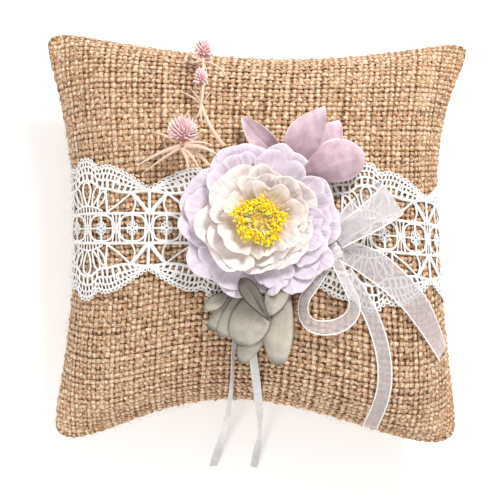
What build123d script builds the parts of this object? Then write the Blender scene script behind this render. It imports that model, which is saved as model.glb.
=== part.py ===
"""Ring bearer pillow: a stuffed burlap cushion with a lace band, a silk flower spray and ribbons.

It lies on its back. +Z is up, out of the decorated face. +Y points at the thistle sprigs, and the ring
ribbons trail towards -Y. The origin is on the resting surface, under the middle of the cushion.
All sizes are in millimetres.
"""
import os
from math import cos, radians, sin, sqrt, tan

from build123d import *

os.makedirs("parts", exist_ok=True)

# ---------------------------------------------------------------- driving dimensions
# Seam line of the cushion: its corners before rounding, and three points on each pulled-in side between
seam_corners = [(-103.9, 98.3), (106.5, 95.0), (97.5, -96.3), (-100.2, -95.6)]
seam_sides = [
    [(-50.0, 89.3), (3.0, 84.6), (54.0, 86.5)],
    [(88.0, 50.5), (85.3, 6.0), (89.8, -46.0)],
    [(50.0, -89.5), (-5.0, -76.6), (-53.5, -84.3)],
    [(-90.2, -47.0), (-86.6, 1.0), (-89.6, 48.0)],
]
side_places = [0.5, 0.0, 0.5]     # where those three stand, from 0 at the side's middle to 1 at a corner
half_reach = 86.0                 # middle of the cushion to the middle of a side
seam_height = 36.0                # seam line above the resting surface
front_rise = 40.0                 # seam line to the crown of the decorated face
front_shares = [0.0, 0.3, 0.6, 0.85, 0.985]
back_shares = [0.0, 0.3, 0.6, 0.8, 0.93]      # the last one is the flat patch it rests on
corner_radii = [7.0, 14.0, 22.0, 18.0, 7.0]

burlap_thickness = 1.2
lining_thickness = 0.6
layer_gap = 0.25                  # air between one layer of cloth and the next

# Closing seam
stitch_pitch = 9.0
stitch_length = 3.0
stitch_radius = 0.4
stitch_margin = 20.0              # no stitches this near a corner

# Lace band
lace_thickness = 0.8
lace_middle_y = 4.0
lace_straight_width = 45.0
lace_past_sides = 6.0             # the cut-out reaches this far past each side, so it never trims the ends
scallop_reach = 29.5              # middle of the band to the top of a scallop
scallop_places = [-82.0, -17.0, 51.0]
scallop_half_length = 27.0

# Flower, on its own upright axis
flower_x, flower_y = 1.0, 7.5
felt_bottom = 77.6
felt_thickness = 1.6
felt_radius = 24.0
glue_radius = 15.0
glue_sink = 2.0                   # the glue starts this far under the crown, then is cut to the lace
calyx_radius = 7.0
calyx_foot_radius = 4.2
calyx_height = 3.0
core_radius = 6.0
core_rounding = 3.6
core_top = 90.0
petal_thickness = 0.8
petal_split = 3.0                 # degrees between two petals of one ring
petal_middle_share = 0.48         # middle and half length of a petal's rounded outline, as shares of its reach
petal_half_share = 0.54
petal_fullness = 0.86             # half width of that outline, as a share of the sector's
petal_extra_width = 1.0
filament_radius = 0.25
anther_radius = 0.7
anther_clearance = 0.05           # between an anther and the end of its filament
stamen_gap = 0.2                  # between a filament's foot and the core
stamen_stagger = 7.0              # degrees that a ring is turned, for each millimetre of its head radius
# how many, radius at the foot, radius at the head, height of the heads
stamen_rings = [(10, 2.5, 4.0, 97.0), (14, 3.8, 7.5, 96.5), (18, 4.8, 10.5, 95.0)]

# Leaves
leaf_thickness = 0.7

# Thistle sprigs
stem_radius = 0.7
bract_radius = 0.45

# Ribbons
knot_size = (9.0, 10.0, 5.0)
knot_corner = 2.5
knot_rounding = 1.8
wide_ribbon_width = 17.0
wide_ribbon_thickness = 0.5
narrow_ribbon_width = 6.5
ring_ribbon_width = 4.0
tack_place = (-6.0, -31.5, 73.8)
tack_length, tack_width, tack_height = 11.0, 5.0, 2.4
tack_corner = 1.5

flower_axis = Axis((flower_x, flower_y, 0), (0, 0, 1))


def keep(part, name):
    """Label a finished piece and write it to its own file."""
    part.label = name
    export_step(part, f"parts/{name}.step")


# ---------------------------------------------------------------- cushion
def drawn_in(point, place, share):
    """A seam point moved towards the middle of the cushion, for the section at a share of the rise.

    The cushion's height at (u, v), each from -1 to 1, is the root of (1 - u^2)(1 - v^2), and the seam
    point stands at u = place, v = 1. Solved for the scale that gives the wanted height.
    """
    if place == 0:
        scale = sqrt(1 - share ** 2)
    else:
        total = 1 + place ** 2
        root = sqrt(total ** 2 - 4 * place ** 2 * (1 - share ** 2))
        scale = sqrt((total - root) / (2 * place ** 2))
    return Vector(point[0], point[1]) * scale


def cushion_half(shares, rise, inset):
    """One half of the cushion, from the seam plane up or down by rise, drawn in by inset all round.

    A share is how much of the rise is used up. The corners draw in faster than the sides, so the section
    goes from a pulled-in square with pointed corners to a rounded one.
    """
    shrink = 1 - inset / half_reach
    direction = 1 if rise > 0 else -1
    with BuildPart() as half:
        for share, radius in zip(shares, corner_radii):
            height = (rise - direction * inset) * share / shares[-1]
            corners = [drawn_in(point, 1.0, share) * shrink for point in seam_corners]
            with BuildSketch(Plane.XY.offset(seam_height + height)) as section:
                with BuildLine():
                    for side, points in enumerate(seam_sides):
                        between = [
                            drawn_in(point, place, share) * shrink
                            for point, place in zip(points, side_places)
                        ]
                        Spline(corners[side], *between, corners[(side + 1) % 4])
                make_face()
                fillet(section.vertices(), radius)
        loft()
    return half.part


def front_half(inset):
    return cushion_half(front_shares, front_rise, inset)


def back_half(inset):
    return cushion_half(back_shares, -seam_height, inset)


lining_inset = burlap_thickness + layer_gap
filling_inset = lining_inset + lining_thickness + layer_gap

with BuildPart() as burlap_front_panel:
    add(front_half(0))
    add(front_half(burlap_thickness), mode=Mode.SUBTRACT)
keep(burlap_front_panel.part, "burlap_front_panel")

with BuildPart() as burlap_back_panel:
    add(back_half(0))
    add(back_half(burlap_thickness), mode=Mode.SUBTRACT)
keep(burlap_back_panel.part, "burlap_back_panel")

with BuildPart() as front_lining:
    add(front_half(lining_inset))
    add(front_half(lining_inset + lining_thickness), mode=Mode.SUBTRACT)
keep(front_lining.part, "front_lining")

with BuildPart() as back_lining:
    add(back_half(lining_inset))
    add(back_half(lining_inset + lining_thickness), mode=Mode.SUBTRACT)
keep(back_lining.part, "back_lining")

with BuildPart() as fibre_filling:
    add(front_half(filling_inset))
    add(back_half(filling_inset))
keep(fibre_filling.part, "fibre_filling")

# Stitches stand across the seam, just outside the cloth
with BuildPart() as seam_stitches:
    for side, points in enumerate(seam_sides):
        side_line = Spline(seam_corners[side], *points, seam_corners[(side + 1) % 4], mode=Mode.PRIVATE)
        margin = stitch_margin / side_line.length
        count = round(side_line.length * (1 - 2 * margin) / stitch_pitch)
        for number in range(count + 1):
            along = margin + (1 - 2 * margin) * number / count
            outward = Vector(side_line % along).cross(Vector(0, 0, 1)) * -1
            place = side_line @ along + outward * (stitch_radius + layer_gap)
            with Locations((place.X, place.Y, seam_height)):
                Cylinder(stitch_radius, stitch_length)
keep(seam_stitches.part, "seam_stitches")

above_stitches = seam_height + stitch_length / 2 + layer_gap

# ---------------------------------------------------------------- lace band
with BuildPart() as lace_band:
    add(front_half(-layer_gap - lace_thickness))
    add(front_half(-layer_gap), mode=Mode.SUBTRACT)
    with BuildSketch(Plane.XY.offset(above_stitches)) as lace_outline:
        with Locations((0, lace_middle_y)):
            Rectangle(2 * (half_reach + lace_past_sides), lace_straight_width)
        for place in scallop_places:
            with Locations((place, lace_middle_y)):
                Ellipse(scallop_half_length, scallop_reach)
    extrude(amount=2 * front_rise, mode=Mode.INTERSECT)
keep(lace_band.part, "lace_band")

# ---------------------------------------------------------------- flower
felt_top = felt_bottom + felt_thickness
lace_clearance = layer_gap + lace_thickness + layer_gap

with BuildPart() as glue_pad:
    with BuildSketch(Plane.XY.offset(seam_height + front_rise - glue_sink)):
        with Locations((flower_x, flower_y)):
            Circle(glue_radius)
    extrude(amount=felt_bottom - seam_height - front_rise + glue_sink)
    add(front_half(-lace_clearance), mode=Mode.SUBTRACT)
keep(glue_pad.part, "glue_pad")

with BuildPart() as felt_backing_disc:
    with BuildSketch(Plane.XY.offset(felt_bottom)):
        with Locations((flower_x, flower_y)):
            Circle(felt_radius)
    extrude(amount=felt_thickness)
keep(felt_backing_disc.part, "felt_backing_disc")

calyx_top = felt_top + calyx_height
with BuildPart() as flower_calyx:
    with BuildSketch(Plane.XY.offset(felt_top)):
        with Locations((flower_x, flower_y)):
            Circle(calyx_foot_radius)
    with BuildSketch(Plane.XY.offset(calyx_top)):
        with Locations((flower_x, flower_y)):
            Circle(calyx_radius)
    loft()
keep(flower_calyx.part, "flower_calyx")

with BuildPart() as flower_core:
    with BuildSketch(Plane.XY.offset(calyx_top)):
        with Locations((flower_x, flower_y)):
            Circle(core_radius)
    extrude(amount=core_top - calyx_top)
    fillet(flower_core.faces().sort_by(Axis.Z)[-1].edges(), core_rounding)
keep(flower_core.part, "flower_core")


def make_petal(name, turn, spread, start, reach, base_height, rim_height, dish):
    """A cupped petal: a dished strip turned through spread degrees, with a rounded outline."""
    facing = Vector(cos(radians(turn - spread / 2)), sin(radians(turn - spread / 2)), 0)
    middle = Vector(cos(radians(turn)), sin(radians(turn)), 0)
    foot = Vector(flower_x, flower_y, 0)
    side_plane = Plane(origin=foot, x_dir=facing, z_dir=facing.cross(Vector(0, 0, 1)))
    half_way = ((start + reach) / 2, (base_height + rim_height) / 2 - dish)
    with BuildPart() as petal:
        with BuildSketch(side_plane):
            with BuildLine():
                ThreePointArc((start, base_height), half_way, (reach, rim_height))
                Line((reach, rim_height), (reach, rim_height + petal_thickness))
                ThreePointArc(
                    (reach, rim_height + petal_thickness),
                    (half_way[0], half_way[1] + petal_thickness),
                    (start, base_height + petal_thickness),
                )
                Line((start, base_height + petal_thickness), (start, base_height))
            make_face()
        revolve(axis=flower_axis, revolution_arc=spread)
        with BuildSketch(Plane(origin=foot, x_dir=middle, z_dir=(0, 0, 1))):
            with Locations((reach * petal_middle_share, 0)):
                half_width = reach * sin(radians(spread / 2)) * petal_fullness + petal_extra_width
                Ellipse(reach * petal_half_share, half_width)
        extrude(amount=2 * rim_height, mode=Mode.INTERSECT)
    keep(petal.part, name)


# name, petals, first turn, start radius, reach, base height, rim height, dish
petal_rings = [
    ("outer_petal", 8, 12.0, 7.5, 37.0, 80.6, 84.5, 1.2),
    ("middle_petal", 6, 40.0, 7.2, 28.0, 83.0, 91.0, 2.2),
    ("inner_petal", 5, 70.0, 6.8, 20.0, 85.6, 96.0, 2.6),
]
for ring_name, count, first_turn, start, reach, base_height, rim_height, dish in petal_rings:
    pitch = 360.0 / count
    for number in range(count):
        turn = first_turn + number * pitch
        petal_name = f"{ring_name}_{number + 1}"
        make_petal(petal_name, turn, pitch - petal_split, start, reach, base_height, rim_height, dish)


def pin_plane(foot, head):
    """A plane at foot whose normal points at head."""
    return Plane(origin=foot, z_dir=Vector(*head) - Vector(*foot))


stamens = []
for count, foot_radius, head_radius, head_height in stamen_rings:
    for number in range(count):
        turn = radians(360.0 * number / count + head_radius * stamen_stagger)
        foot = (flower_x + foot_radius * cos(turn), flower_y + foot_radius * sin(turn), core_top + stamen_gap)
        head = (flower_x + head_radius * cos(turn), flower_y + head_radius * sin(turn), head_height)
        stamens.append((foot, head))

with BuildPart() as stamen_filaments:
    for foot, head in stamens:
        with BuildSketch(pin_plane(foot, head)):
            Circle(filament_radius)
        extrude(amount=(Vector(*head) - Vector(*foot)).length - anther_radius)
keep(stamen_filaments.part, "stamen_filaments")

with BuildPart() as stamen_anthers:
    for foot, head in stamens:
        with Locations(head):
            Sphere(anther_radius - anther_clearance)
keep(stamen_anthers.part, "stamen_anthers")


# ---------------------------------------------------------------- leaves
def make_leaf(name, stalk, tip, width, arch, widest):
    """A thin arched leaf from stalk to tip. widest is the place of its greatest width along its length."""
    along = Vector(*tip) - Vector(*stalk)
    length = along.length
    across = Vector(0, 0, 1).cross(along).normalized()
    side_plane = Plane(origin=stalk, x_dir=along, z_dir=across * -1)
    flat_plane = Plane(origin=stalk, x_dir=along, z_dir=along.cross(across))
    with BuildPart() as leaf:
        with BuildSketch(side_plane):
            with BuildLine():
                ThreePointArc((0, 0), (length / 2, arch), (length, 0))
                Line((length, 0), (length, leaf_thickness))
                ThreePointArc((length, leaf_thickness), (length / 2, arch + leaf_thickness), (0, leaf_thickness))
                Line((0, leaf_thickness), (0, 0))
            make_face()
        extrude(amount=width, both=True)
        with BuildSketch(flat_plane.offset(-width)):
            with BuildLine():
                Spline((0, 0), (length * widest, width / 2), (length, 0), tangents=[(0.5, 1), (0.3, -1)])
                Spline((0, 0), (length * widest, -width / 2), (length, 0), tangents=[(0.5, -1), (0.3, 1)])
            make_face()
        extrude(amount=2 * width + 2 * abs(arch), mode=Mode.INTERSECT)
    keep(leaf.part, name)


# stalk end, tip, width, arch, place of the greatest width
mauve_leaves = [
    ((12.0, 37.0, 79.0), (-7.0, 55.0, 75.5), 11.0, 1.5, 0.45),
    ((20.0, 36.5, 82.0), (31.0, 60.0, 83.0), 14.0, 2.0, 0.45),
    ((25.0, 37.0, 78.6), (35.5, 52.0, 77.0), 9.0, 1.0, 0.5),
    ((28.0, 31.0, 84.0), (49.0, 35.0, 80.0), 20.0, 3.0, 0.6),
]
for number, leaf_sizes in enumerate(mauve_leaves):
    make_leaf(f"mauve_leaf_{number + 1}", *leaf_sizes)

grey_leaves = [
    ((-18.5, -25.0, 77.8), (-26.0, -29.0, 77.0), 3.5, 0.3, 0.5),
    ((-12.0, -24.0, 76.4), (-21.0, -41.0, 74.0), 11.0, 1.0, 0.5),
    ((-8.0, -25.0, 78.6), (-14.0, -47.0, 75.0), 13.0, 1.5, 0.6),
    ((-1.0, -26.0, 83.5), (-5.5, -50.0, 80.0), 19.0, 2.5, 0.6),
    ((-1.0, -23.0, 87.5), (4.0, -38.0, 87.0), 13.0, 1.5, 0.5),
    ((2.0, -38.0, 77.2), (-4.0, -58.0, 72.0), 9.0, 1.0, 0.6),
    ((8.0, -22.0, 79.6), (16.0, -30.0, 78.5), 9.0, 0.8, 0.5),
    ((13.0, -26.0, 81.5), (9.0, -59.0, 75.0), 14.0, 2.5, 0.6),
]
for number, leaf_sizes in enumerate(grey_leaves):
    make_leaf(f"grey_leaf_{number + 1}", *leaf_sizes)


# ---------------------------------------------------------------- thistle sprigs
def make_stem(name, route, bend_radius):
    """A round stem along a route with rounded corners."""
    with BuildPart() as stem:
        with BuildLine() as stem_line:
            FilletPolyline(*route, radius=bend_radius)
        with BuildSketch(Plane(origin=route[0], z_dir=stem_line.line % 0)):
            Circle(stem_radius)
        sweep()
    keep(stem.part, name)


make_stem("thistle_main_stem", [(-15, 41, 79.5), (-25.6, 59, 75.0), (-25.8, 81.0, 63.0)], 12.0)
make_stem("thistle_side_stem", [(-22.0, 33.0, 82.5), (-30.5, 36.5, 82.5), (-33.5, 40.5, 82.0)], 5.0)


def make_head(name, foot, crown, width):
    """An egg-shaped flower head from its foot to its crown."""
    length = (Vector(*crown) - Vector(*foot)).length
    stem_plane = pin_plane(foot, crown)
    side_plane = Plane(origin=foot, x_dir=stem_plane.x_dir, z_dir=stem_plane.y_dir * -1)
    with BuildPart() as head:
        with BuildSketch(side_plane):
            with BuildLine():
                Spline(
                    (0, 0), (width / 2, length * 0.5), (0, length),
                    tangents=[(1, 0.1), (-1, 0)],
                )
                Line((0, length), (0, 0))
            make_face()
        revolve(axis=Axis(foot, stem_plane.z_dir))
    keep(head.part, name)


make_head("thistle_head_1", (-25.6, 84.5, 60.0), (-24.5, 93.5, 55.5), 8.5)
make_head("thistle_head_2", (-28.6, 70.5, 71.0), (-28.9, 77.0, 68.5), 6.0)
make_head("thistle_head_3", (-34.0, 41.5, 82.0), (-34.4, 54.0, 80.5), 13.0)

# foot and point of each bract
bracts = [
    ((-26.4, 60.5, 74.8), (-34.5, 65.0, 77.0)),
    ((-26.4, 61.5, 74.6), (-30.5, 67.0, 77.5)),
    ((-24.4, 61.0, 75.0), (-24.0, 50.5, 82.0)),
    ((-24.2, 82.0, 62.8), (-14.0, 74.0, 68.0)),
    ((-27.4, 82.5, 62.6), (-32.5, 86.0, 60.0)),
    ((-35.6, 40.2, 82.6), (-54.0, 32.0, 79.5)),
    ((-37.4, 41.2, 82.8), (-47.0, 45.5, 80.5)),
    ((-34.6, 38.8, 83.4), (-31.0, 29.5, 86.0)),
    ((-31.8, 39.4, 83.4), (-17.0, 36.6, 86.5)),
]
with BuildPart() as thistle_bracts:
    for foot, point in bracts:
        with BuildSketch(pin_plane(foot, point)):
            Circle(bract_radius)
        extrude(amount=(Vector(*point) - Vector(*foot)).length)
keep(thistle_bracts.part, "thistle_bracts")

# ---------------------------------------------------------------- wide organza ribbon
knot_place = (38.0, -6.5, 77.5)
with BuildPart() as bow_knot:
    with BuildSketch(Plane(origin=(knot_place[0], knot_place[1], knot_place[2] - knot_size[2] / 2))):
        RectangleRounded(knot_size[0], knot_size[1], knot_corner)
    extrude(amount=knot_size[2])
    fillet(bow_knot.edges().group_by(Axis.Z)[-1], knot_rounding)
keep(bow_knot.part, "bow_knot")

loop_turn = 50.0                  # degrees from +X
loop_bottom = 76.2
# Control points of its lower and upper run: distance out from the knot, and height over the loop's bottom.
# The far end comes down the cushion's slope.
loop_lower = [(7.0, 1.5), (17.0, -1.0), (30.8, -7.0), (41.0, -7.0)]
loop_upper = [(41.0, 1.0), (27.4, 5.0), (19.0, 6.0), (7.0, 3.5)]
loop_facing = Vector(cos(radians(loop_turn)), sin(radians(loop_turn)), 0)
loop_plane = Plane(
    origin=(knot_place[0], knot_place[1], loop_bottom), x_dir=loop_facing,
    z_dir=loop_facing.cross(Vector(0, 0, 1)),
)
with BuildPart() as wide_loop:
    with BuildSketch(loop_plane):
        with BuildLine() as loop_line:
            Bezier(*loop_lower)
            TangentArc(loop_lower[-1], loop_upper[0], tangent=(1, 0))
            Bezier(*loop_upper)
        trace(loop_line.line, line_width=wide_ribbon_thickness)
    extrude(amount=wide_ribbon_width / 2, both=True)
keep(wide_loop.part, "wide_loop")

# The tail lies on the cushion, over the lace
tail_outline = [(43.5, -3.0), (60.0, -10.0), (71.0, -24.0), (84.0, -37.0), (91.0, -50.0), (84.5, -57.0),
                (72.0, -39.0), (59.0, -25.0), (44.0, -12.0)]
with BuildPart() as wide_tail:
    add(front_half(-lace_clearance - wide_ribbon_thickness))
    add(front_half(-lace_clearance), mode=Mode.SUBTRACT)
    with BuildSketch(Plane.XY.offset(above_stitches)):
        with BuildLine():
            Polyline(*tail_outline, close=True)
        make_face()
    extrude(amount=2 * front_rise, mode=Mode.INTERSECT)
keep(wide_tail.part, "wide_tail")


# ---------------------------------------------------------------- narrow ribbons
def corner_radii_of(route):
    """The largest arc that the two runs beside each corner allow."""
    points = [Vector(*point) for point in route]
    radii = []
    for before, corner, after in zip(points, points[1:], points[2:]):
        first, second = corner - before, after - corner
        turn = first.get_angle(second)
        radii.append(0.45 * min(first.length, second.length) / tan(radians(turn / 2)))
    return radii


def make_ribbon(name, route, width):
    """A free ribbon as a plain round tube along straight runs and tangent arcs."""
    radii = corner_radii_of(route)
    with BuildPart() as ribbon:
        with BuildLine() as ribbon_line:
            FilletPolyline(*route, radius=radii)
        ribbon_path = ribbon_line.wires()[0]
        with BuildSketch(Plane(origin=route[0], z_dir=ribbon_path % 0)):
            Circle(width / 2)
        sweep()
    section = Face(Wire.make_circle(width / 2)).area
    expected = section * ribbon_path.length
    print(f"{name}: length {ribbon_path.length:.1f}, radii {[round(r, 1) for r in radii]}, "
          f"volume {ribbon.part.volume:.0f} of {expected:.0f}")
    keep(ribbon.part, name)


narrow_loop_route = [(33.0, -15.0, 79.0), (27.0, -22.0, 79.4), (20.5, -31.0, 78.0), (23.5, -41.0, 75.0),
                     (36.0, -42.0, 74.0), (43.0, -33.0, 75.5), (38.5, -23.0, 79.4), (37.0, -15.0, 79.4)]
narrow_tail_route = [(44.5, -19.0, 76.0), (49.5, -31.0, 73.5), (56.5, -46.0, 70.5), (59.0, -62.0, 67.0),
                     (58.5, -76.0, 60.5), (54.5, -89.0, 51.0)]
make_ribbon("narrow_loop", narrow_loop_route, narrow_ribbon_width)
make_ribbon("narrow_tail", narrow_tail_route, narrow_ribbon_width)

ring_left_route = [(-8.0, -36.0, 75.0), (-11.0, -51.0, 70.0), (-11.5, -66.0, 61.0), (-13.0, -79.5, 45.5),
                   (-14.8, -88.5, 32.0), (-16.3, -95.5, 16.0), (-17.8, -100.5, 5.5), (-21.5, -112.5, 2.2)]
ring_right_route = [(-4.0, -36.0, 75.0), (-2.5, -51.0, 70.5), (-0.5, -66.0, 61.5), (1.0, -79.5, 45.5),
                    (1.6, -88.5, 32.0), (1.3, -95.5, 16.0), (0.6, -100.5, 5.5), (-1.5, -113.0, 2.2)]
make_ribbon("ring_ribbon_left", ring_left_route, ring_ribbon_width)
make_ribbon("ring_ribbon_right", ring_right_route, ring_ribbon_width)

# The tack that holds both ring ribbons under the grey leaves
with BuildPart() as ring_ribbon_tack:
    with BuildSketch(Plane(origin=tack_place)):
        RectangleRounded(tack_length, tack_width, tack_corner)
    extrude(amount=tack_height)
keep(ring_ribbon_tack.part, "ring_ribbon_tack")
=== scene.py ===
"""Ring bearer pillow: the looks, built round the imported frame. Sizes are in metres, unless named _mm."""
from math import cos, hypot, pi, radians, sin, sqrt

import bpy
import numpy as np
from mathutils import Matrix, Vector


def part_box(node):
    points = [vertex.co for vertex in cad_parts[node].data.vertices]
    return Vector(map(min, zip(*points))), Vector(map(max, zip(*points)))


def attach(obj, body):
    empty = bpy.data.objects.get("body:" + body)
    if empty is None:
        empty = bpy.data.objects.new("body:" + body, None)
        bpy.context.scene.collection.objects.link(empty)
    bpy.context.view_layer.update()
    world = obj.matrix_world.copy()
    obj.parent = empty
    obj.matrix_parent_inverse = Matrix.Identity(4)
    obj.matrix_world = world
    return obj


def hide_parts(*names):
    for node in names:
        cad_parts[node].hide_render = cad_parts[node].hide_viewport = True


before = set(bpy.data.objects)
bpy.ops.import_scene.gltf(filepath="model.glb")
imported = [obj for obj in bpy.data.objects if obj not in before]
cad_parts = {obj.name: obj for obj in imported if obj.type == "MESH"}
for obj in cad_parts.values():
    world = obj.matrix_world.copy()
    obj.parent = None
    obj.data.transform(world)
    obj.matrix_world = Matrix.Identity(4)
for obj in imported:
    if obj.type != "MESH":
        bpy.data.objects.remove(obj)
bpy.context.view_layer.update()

MM = 0.001
rng = np.random.default_rng(7)

# ---------------------------------------------------------------- places taken from the frame
front_low, front_high = (np.array(corner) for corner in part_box("burlap_front_panel"))
SEAM_Z = front_low[2]                    # seam line above the resting surface
RISE = front_high[2] - front_low[2]      # seam line to crown
FLOWER = np.mean([list(corner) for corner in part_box("felt_backing_disc")], axis=0)   # the flower's axis
KNOT = np.mean([list(corner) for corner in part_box("bow_knot")], axis=0)

# ---------------------------------------------------------------- camera
CAMERA_HEIGHT = 1.0                      # above the seam plane
VIEW_WIDTH = 0.237                       # what the picture spans in the seam plane
VIEW_MIDDLE = (-0.0033, -0.0064)
SENSOR = 36.0
camera_data = bpy.data.cameras.new("camera")
camera_data.sensor_width = SENSOR
camera_data.lens = SENSOR * CAMERA_HEIGHT / VIEW_WIDTH
camera = bpy.data.objects.new("camera", camera_data)
camera.location = (*VIEW_MIDDLE, SEAM_Z + CAMERA_HEIGHT)
bpy.context.scene.collection.objects.link(camera)
bpy.context.scene.camera = camera


# ---------------------------------------------------------------- mesh helpers
def new_object(name, verts, faces, material, attributes=None, smooth=True):
    """A mesh object from arrays: faces holds rows of corners, attributes hold a value for each point."""
    mesh = bpy.data.meshes.new(name)
    count, corners = faces.shape
    mesh.vertices.add(len(verts))
    mesh.vertices.foreach_set("co", np.asarray(verts, dtype=np.float32).ravel())
    mesh.loops.add(count * corners)
    mesh.loops.foreach_set("vertex_index", faces.astype(np.int32).ravel())
    mesh.polygons.add(count)
    mesh.polygons.foreach_set("loop_start", np.arange(0, count * corners, corners, dtype=np.int32))
    mesh.update(calc_edges=True)
    mesh.validate()
    for label, values in (attributes or {}).items():
        layer = mesh.attributes.new(label, "FLOAT", "POINT")
        layer.data.foreach_set("value", np.asarray(values, dtype=np.float32).ravel())
    mesh.polygons.foreach_set("use_smooth", [smooth] * len(mesh.polygons))
    mesh.materials.append(material)
    made = bpy.data.objects.new(name, mesh)
    bpy.context.scene.collection.objects.link(made)
    return made


def grid_faces(rows, columns, start=0, wrap=False):
    """Quads of a grid of rows by columns points. wrap joins the last column to the first."""
    row, column = np.meshgrid(np.arange(rows - 1), np.arange(columns - (0 if wrap else 1)), indexing="ij")
    after = (column + 1) % columns
    first, second = row * columns + column, row * columns + after
    third, fourth = (row + 1) * columns + after, (row + 1) * columns + column
    return np.stack([first, second, third, fourth], axis=-1).reshape(-1, 4) + start


def thicken(piece, thickness, levels=1, offset=0.0):
    """Gives a sheet its thickness, then smooths it."""
    solid = piece.modifiers.new("thickness", "SOLIDIFY")
    solid.thickness = thickness
    solid.offset = offset
    if levels:
        smooth = piece.modifiers.new("smooth", "SUBSURF")
        smooth.levels = levels
        smooth.render_levels = levels


def unit(vectors):
    return vectors / np.maximum(np.linalg.norm(vectors, axis=-1, keepdims=True), 1e-12)


def running_mean(values, window):
    """Values averaged over a window, held level past both ends."""
    return np.convolve(np.pad(values, window // 2, "edge"), np.ones(window) / window, "valid")


def slow_noise(count, window):
    """Random numbers round zero that change slowly, over about a window."""
    return np.convolve(rng.normal(0, 1, count + window - 1), np.ones(window) / window, "valid")


def tube_arrays(centre, side, up, width, height, sides=6):
    """Vertices and quads of one flattened tube. centre, side and up are (n, 3); width, height are full."""
    turns = 2 * pi * (np.arange(sides) + 0.5) / sides
    width = np.broadcast_to(np.asarray(width, dtype=float), (len(centre),))
    height = np.broadcast_to(np.asarray(height, dtype=float), (len(centre),))
    rings = (
        centre[:, None, :]
        + side[:, None, :] * (np.cos(turns)[None, :, None] * width[:, None, None] / 2)
        + up[:, None, :] * (np.sin(turns)[None, :, None] * height[:, None, None] / 2)
    )
    return rings.reshape(-1, 3), grid_faces(len(centre), sides, wrap=True)


def round_tube(line, helper, girth, sides):
    """Vertices and quads of a round tube along a line. helper is any direction that the line doesn't take."""
    along = unit(np.gradient(line, axis=0))
    side = unit(np.cross(along, helper))
    return tube_arrays(line, side, np.cross(side, along), girth, girth, sides)


class Pile:
    """Collects tubes and blobs into one mesh."""

    def __init__(self):
        self.verts, self.faces, self.values, self.total = [], [], [], 0

    def add(self, verts, faces, value=0.5):
        self.verts.append(verts)
        self.faces.append(faces + self.total)
        self.values.append(np.broadcast_to(np.asarray(value, dtype=float), (len(verts),)))
        self.total += len(verts)

    def make(self, name, material):
        return new_object(
            name, np.vstack(self.verts), np.vstack(self.faces), material, {"tint": np.hstack(self.values)}
        )


def own(piece, slot, *nodes):
    """Every piece rides on the one body and stands for CAD nodes, which it hides. slot is not used."""
    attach(piece, "root")
    if nodes:
        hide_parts(*nodes)
    return piece


# ---------------------------------------------------------------- materials
WHITE = (1.0, 1.0, 1.0)


def new_material(name, roughness, sheen=0.0, subsurface=0.0, specular=0.5, alpha=1.0):
    """A material with constants on the shader's own sockets. Returns it with its node tree and shader."""
    material = bpy.data.materials.new(name)
    material.use_nodes = True
    shader = material.node_tree.nodes["Principled BSDF"]
    values = {"Roughness": roughness, "Sheen Weight": sheen, "Specular IOR Level": specular, "Alpha": alpha}
    if subsurface:
        values["Subsurface Weight"] = subsurface
        values["Subsurface Radius"] = (0.004, 0.003, 0.003)
        values["Subsurface Scale"] = 1.0
    for socket, value in values.items():
        shader.inputs[socket].default_value = value
    return material, material.node_tree, shader


def node(tree, kind, **settings):
    made = tree.nodes.new(kind)
    for key, value in settings.items():
        setattr(made, key, value)
    return made


def attribute(tree, name):
    return node(tree, "ShaderNodeAttribute", attribute_name=name).outputs["Fac"]


def noise_at(tree, place, scale, detail):
    texture = node(tree, "ShaderNodeTexNoise")
    texture.inputs["Scale"].default_value = scale
    texture.inputs["Detail"].default_value = detail
    tree.links.new(place, texture.inputs["Vector"])
    return texture.outputs["Fac"]


def noise(tree, scale, detail):
    """Noise in object space."""
    return noise_at(tree, node(tree, "ShaderNodeTexCoord").outputs["Object"], scale, detail)


def attribute_noise(tree, across_scale, along_scale, detail=3.0):
    """Noise in a piece's own across and along coordinates, for veins and creases, as painted shade and as
    bumps.
    """
    joined = node(tree, "ShaderNodeCombineXYZ")
    mapping = node(tree, "ShaderNodeMapping")
    mapping.inputs["Scale"].default_value = (across_scale, along_scale, 1)
    tree.links.new(attribute(tree, "across"), joined.inputs["X"])
    tree.links.new(attribute(tree, "along"), joined.inputs["Y"])
    tree.links.new(joined.outputs["Vector"], mapping.inputs["Vector"])
    return noise_at(tree, mapping.outputs["Vector"], 1.0, detail)


def ramp(tree, factor, stops):
    """A colour ramp. stops is a list of (place, (r, g, b))."""
    made = node(tree, "ShaderNodeValToRGB")
    elements = made.color_ramp.elements
    while len(elements) < len(stops):
        elements.new(0.5)
    for element, (place, colour) in zip(elements, stops):
        element.position = place
        element.color = (*colour, 1)
    tree.links.new(factor, made.inputs["Fac"])
    return made.outputs["Color"]


def mix(tree, factor, first, second, blend="MIX"):
    """Mixes two colours. factor is a number or a socket."""
    made = node(tree, "ShaderNodeMix", data_type="RGBA", blend_type=blend)
    if isinstance(factor, (int, float)):
        made.inputs[0].default_value = factor
    else:
        tree.links.new(factor, made.inputs[0])
    for socket, value in ((made.inputs[6], first), (made.inputs[7], second)):
        if isinstance(value, tuple):
            socket.default_value = (*value, 1)
        else:
            tree.links.new(value, socket)
    return made.outputs[2]


def bump(tree, shader, height, strength, distance):
    made = node(tree, "ShaderNodeBump")
    made.inputs["Strength"].default_value = strength
    made.inputs["Distance"].default_value = distance
    tree.links.new(height, made.inputs["Height"])
    tree.links.new(made.outputs["Normal"], shader.inputs["Normal"])


def colour(tree, shader, socket):
    tree.links.new(socket, shader.inputs["Base Color"])


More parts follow.
